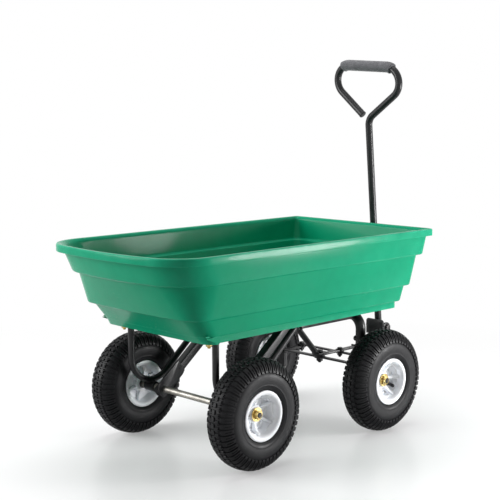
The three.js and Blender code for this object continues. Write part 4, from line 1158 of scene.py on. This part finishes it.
def onLoop(y, rise):
    tilt = math.radians(handle["tilt"])
    return onHandle(0, y * math.cos(tilt) - rise * math.sin(tilt),
                    handle["shaft"] + y * math.sin(tilt) + rise * math.cos(tilt))


def makeHandle():
    slope, rise, bend = math.radians(handle["slope"]), handle["rise"], handle["loopBend"]
    cornerY = rise / math.tan(slope)
    reach = bend / math.tan(slope / 2)
    farY = 2 * reach - cornerY + handle["straight"]
    tailEnd = (farY - handle["tail"] * math.cos(slope), rise - handle["tail"] * math.sin(slope))
    corners = [onHandle(0, 0, 6), onHandle(0, 0, handle["shaft"]), onLoop(-cornerY, rise), onLoop(farY, rise),
               onLoop(*tailEnd)]
    section = {"radius": handle["radius"], "sides": 32}
    tube = runTube("handle", corners, [handle["shaftBend"], bend, bend], section, 20)
    half = handle["sleeveLength"] / 2
    sleeve = turnOutline("sleeve", ringOutline(handle["sleeveBore"], handle["sleeve"], -half, half, 0.8),
                         centre=onHandle(0, 0, 0), steps=40)
    bead = weldBead(onHandle(0, 0, handle["sleeve"] + 0.5), corners[1] - corners[0],
                    handle["radius"] + 0.6, 1.8)
    # a plug closes the open end of the loop
    heading = (corners[4] - corners[3]).normalized()
    plug = startPiece("plug", "cylinder", vertices=32, depth=mm(5),
                      radius=mm(handle["radius"] + 0.5), location=corners[4] - heading * mm(2),
                      rotation=heading.to_track_quat("Z", "Y").to_euler())
    softenEdges(plug, 1.6, 4, 40)
    finishPiece(addTo(tube, sleeve, bead, plug), black, "pull_handle", "handle", "pullHandle", smooth=35)

    # the foam sleeve over the cross piece and part of the bends beside it
    run = []
    for y, outwards, turned in ((reach - cornerY, -1, handle["gripBefore"]),
                                (farY - reach, 1, handle["gripAfter"])):
        turned = math.radians(turned)
        step = bend * math.tan(turned / 2)
        kink = (y + outwards * step, rise)
        tip = (kink[0] + outwards * step * math.cos(turned), rise - step * math.sin(turned))
        run += [onLoop(*tip), onLoop(*kink)] if outwards < 0 else [onLoop(*kink), onLoop(*tip)]
    grip = runTube("grip", run, [bend, bend], {"radius": handle["grip"], "sides": 40}, 10)
    for tip, back in ((run[0], run[1]), (run[3], run[2])):
        outward = (tip - back).normalized()
        pick("FACE", lambda face: face.normal.dot(outward) > 0.95
             and (face.calc_center_median() - tip).length < mm(4))
        bpy.ops.mesh.bevel(offset=mm(handle["gripSoftness"]), segments=5)
    finishPiece(grip, foam, "pull_handle", "grip", "foamGrip", smooth=40)


clevis = {"inner": 25.3, "thick": 5, "radius": 14, "floor": linkTop + 25.6, "floorThick": 4.5,
          "stopBack": -18, "stopHeight": 22, "stopCorner": 8}


def makeClevis():
    inner, thick, radius, low = (clevis[size] for size in ("inner", "thick", "radius", "floor"))
    pivot = handle["pivot"]
    outer, softness = inner + thick, (0.8, 2, 40)
    ear = [(-radius, low), (radius, low)] + arc((0, pivot), radius, 0, 180, 16)
    ears = [uprightPlate(ear, pivotX, y, thick, *softness) for y in (inner, -outer)]
    floorPlan = [(-radius, -outer), (radius, -outer), (radius, outer), (-radius, outer)]
    floorPlate = levelPlate(floorPlan, pivotX, 0, low, clevis["floorThick"], *softness)
    corner, back, top = clevis["stopCorner"], clevis["stopBack"], pivot + clevis["stopHeight"]
    stopFace = [(-outer, low), (outer, low)] + arc((outer - corner, top - corner), corner, 0, 90, 6) \
        + arc((corner - outer, top - corner), corner, 90, 180, 6)
    stop = cutPlate("stop", [at(pivotX + back, y, z) for y, z in stopFace], (mm(thick), 0, 0), *softness)
    finishPiece(addTo(*ears, floorPlate, stop), black, "steering_bar", "clevis")

    seat = handle["sleeveLength"] / 2 + 5.6
    bolt = moved(makeBolt(5, seat, -seat), at(pivotX, 0, pivot), (math.pi / 2, 0, 0))
    finishPiece(bolt, darkEnd, "steering_bar", "handle_bolt", smooth=30)


makeHandle()
makeClevis()
print("handle made")

# parts out of sight keep the frame's own shapes
for name, finish in {"crossbar": black, "catch_bracket": black, "catch_hook": black, "catch_pin": zinc,
                     "striker": zinc}.items():
    cover(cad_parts[name], finish)
print("small parts finished")


# studio
studio = {
    "floor": (0.92, 0.92, 0.925), "bounce": (0.42, 0.42, 0.42), "floorGloss": 0.28,
    "whiteFrom": 0.58, "whiteTo": 1.6, "lift": 0.28, "aim": (0, 0, 0.3),
    "boxes": {"left": (86, (-2.6, 1.7, 1.3), 2.0), "right": (34, (1.15, -1.45, 0.36), 0.62),
              "top": (33, (0.1, 0.3, 2.6), 2.0)},
    "brightFrom": (0.66, 0.66, 0.36), "dimSide": 0.05, "brightSide": 0.6, "dimTo": -0.6, "brightTo": 0.7,
}


def softBox(name, power, place, size):
    lamp = bpy.data.lights.new(name, "AREA")
    lamp.shape = "DISK"
    lamp.size = size
    lamp.energy = power
    lampObject = bpy.data.objects.new(name, lamp)
    lampObject.location = place
    lampObject.rotation_mode = "QUATERNION"
    lampObject.rotation_quaternion = (Vector(studio["aim"]) - Vector(place)).to_track_quat("-Z", "Y")
    bpy.context.scene.collection.objects.link(lampObject)


def seenDirectly(tree):
    # 1 for what the eye, a mirror or a clear part sees, 0 for light on its way
    path = node(tree, "LightPath").outputs
    seen = path["Is Camera Ray"]
    for ray in ("Is Transmission Ray", "Is Glossy Ray"):
        seen = reckon(tree, "MAXIMUM", seen, path[ray])
    return seen


for name, (power, place, size) in studio["boxes"].items():
    softBox(name, power, place, size)

floor = startPiece("floor", "plane", size=80, location=(0, 0, 0))
bpy.ops.object.mode_set(mode="OBJECT")
floorFinish, floorTree, floorShader = newFinish("paleFloor", Roughness=studio["floorGloss"], IOR=1.4)
# far from the cart the floor turns into plain white backdrop
place = node(floorTree, "TexCoord").outputs["Object"]
distance = node(floorTree, "VectorMath", operation="LENGTH", Vector=place).outputs["Value"]
away = remap(floorTree, distance, studio["lift"], 1, studio["whiteFrom"], studio["whiteTo"])
seen = seenDirectly(floorTree)
shown = blendColours(floorTree, seen, studio["bounce"], studio["floor"])
link(floorTree, shown, floorShader.inputs["Base Color"])
plainWhite = node(floorTree, "Emission", Strength=1)
joined = node(floorTree, "MixShader")
for socket, value in zip(joined.inputs, (reckon(floorTree, "MULTIPLY", away, seen), floorShader.outputs[0],
                                         plainWhite.outputs[0])):
    link(floorTree, value, socket)
link(floorTree, joined.outputs[0], floorTree.nodes["Material Output"].inputs["Surface"])
floor.data.materials.append(floorFinish)

world = bpy.data.worlds.new("studioWorld")
bpy.context.scene.world = world
world.use_nodes = True
skyTree = world.node_tree
sky = skyTree.nodes["Background"]
sky.inputs["Color"].default_value = (1, 1, 1, 1)
towards = node(skyTree, "TexCoord").outputs["Generated"]
across = node(skyTree, "VectorMath", operation="DOT_PRODUCT", Vector=towards)
across.inputs[1].default_value = studio["brightFrom"]
room = remap(skyTree, across.outputs["Value"], studio["dimSide"], studio["brightSide"], studio["dimTo"],
             studio["brightTo"])
white = node(skyTree, "Mix", data_type="FLOAT")
for index, value in ((0, seenDirectly(skyTree)), (2, room), (3, 1)):
    link(skyTree, value, white.inputs[index])
link(skyTree, white.outputs[0], sky.inputs["Strength"])
bpy.context.scene.view_settings.view_transform = "Standard"
print("studio lit")
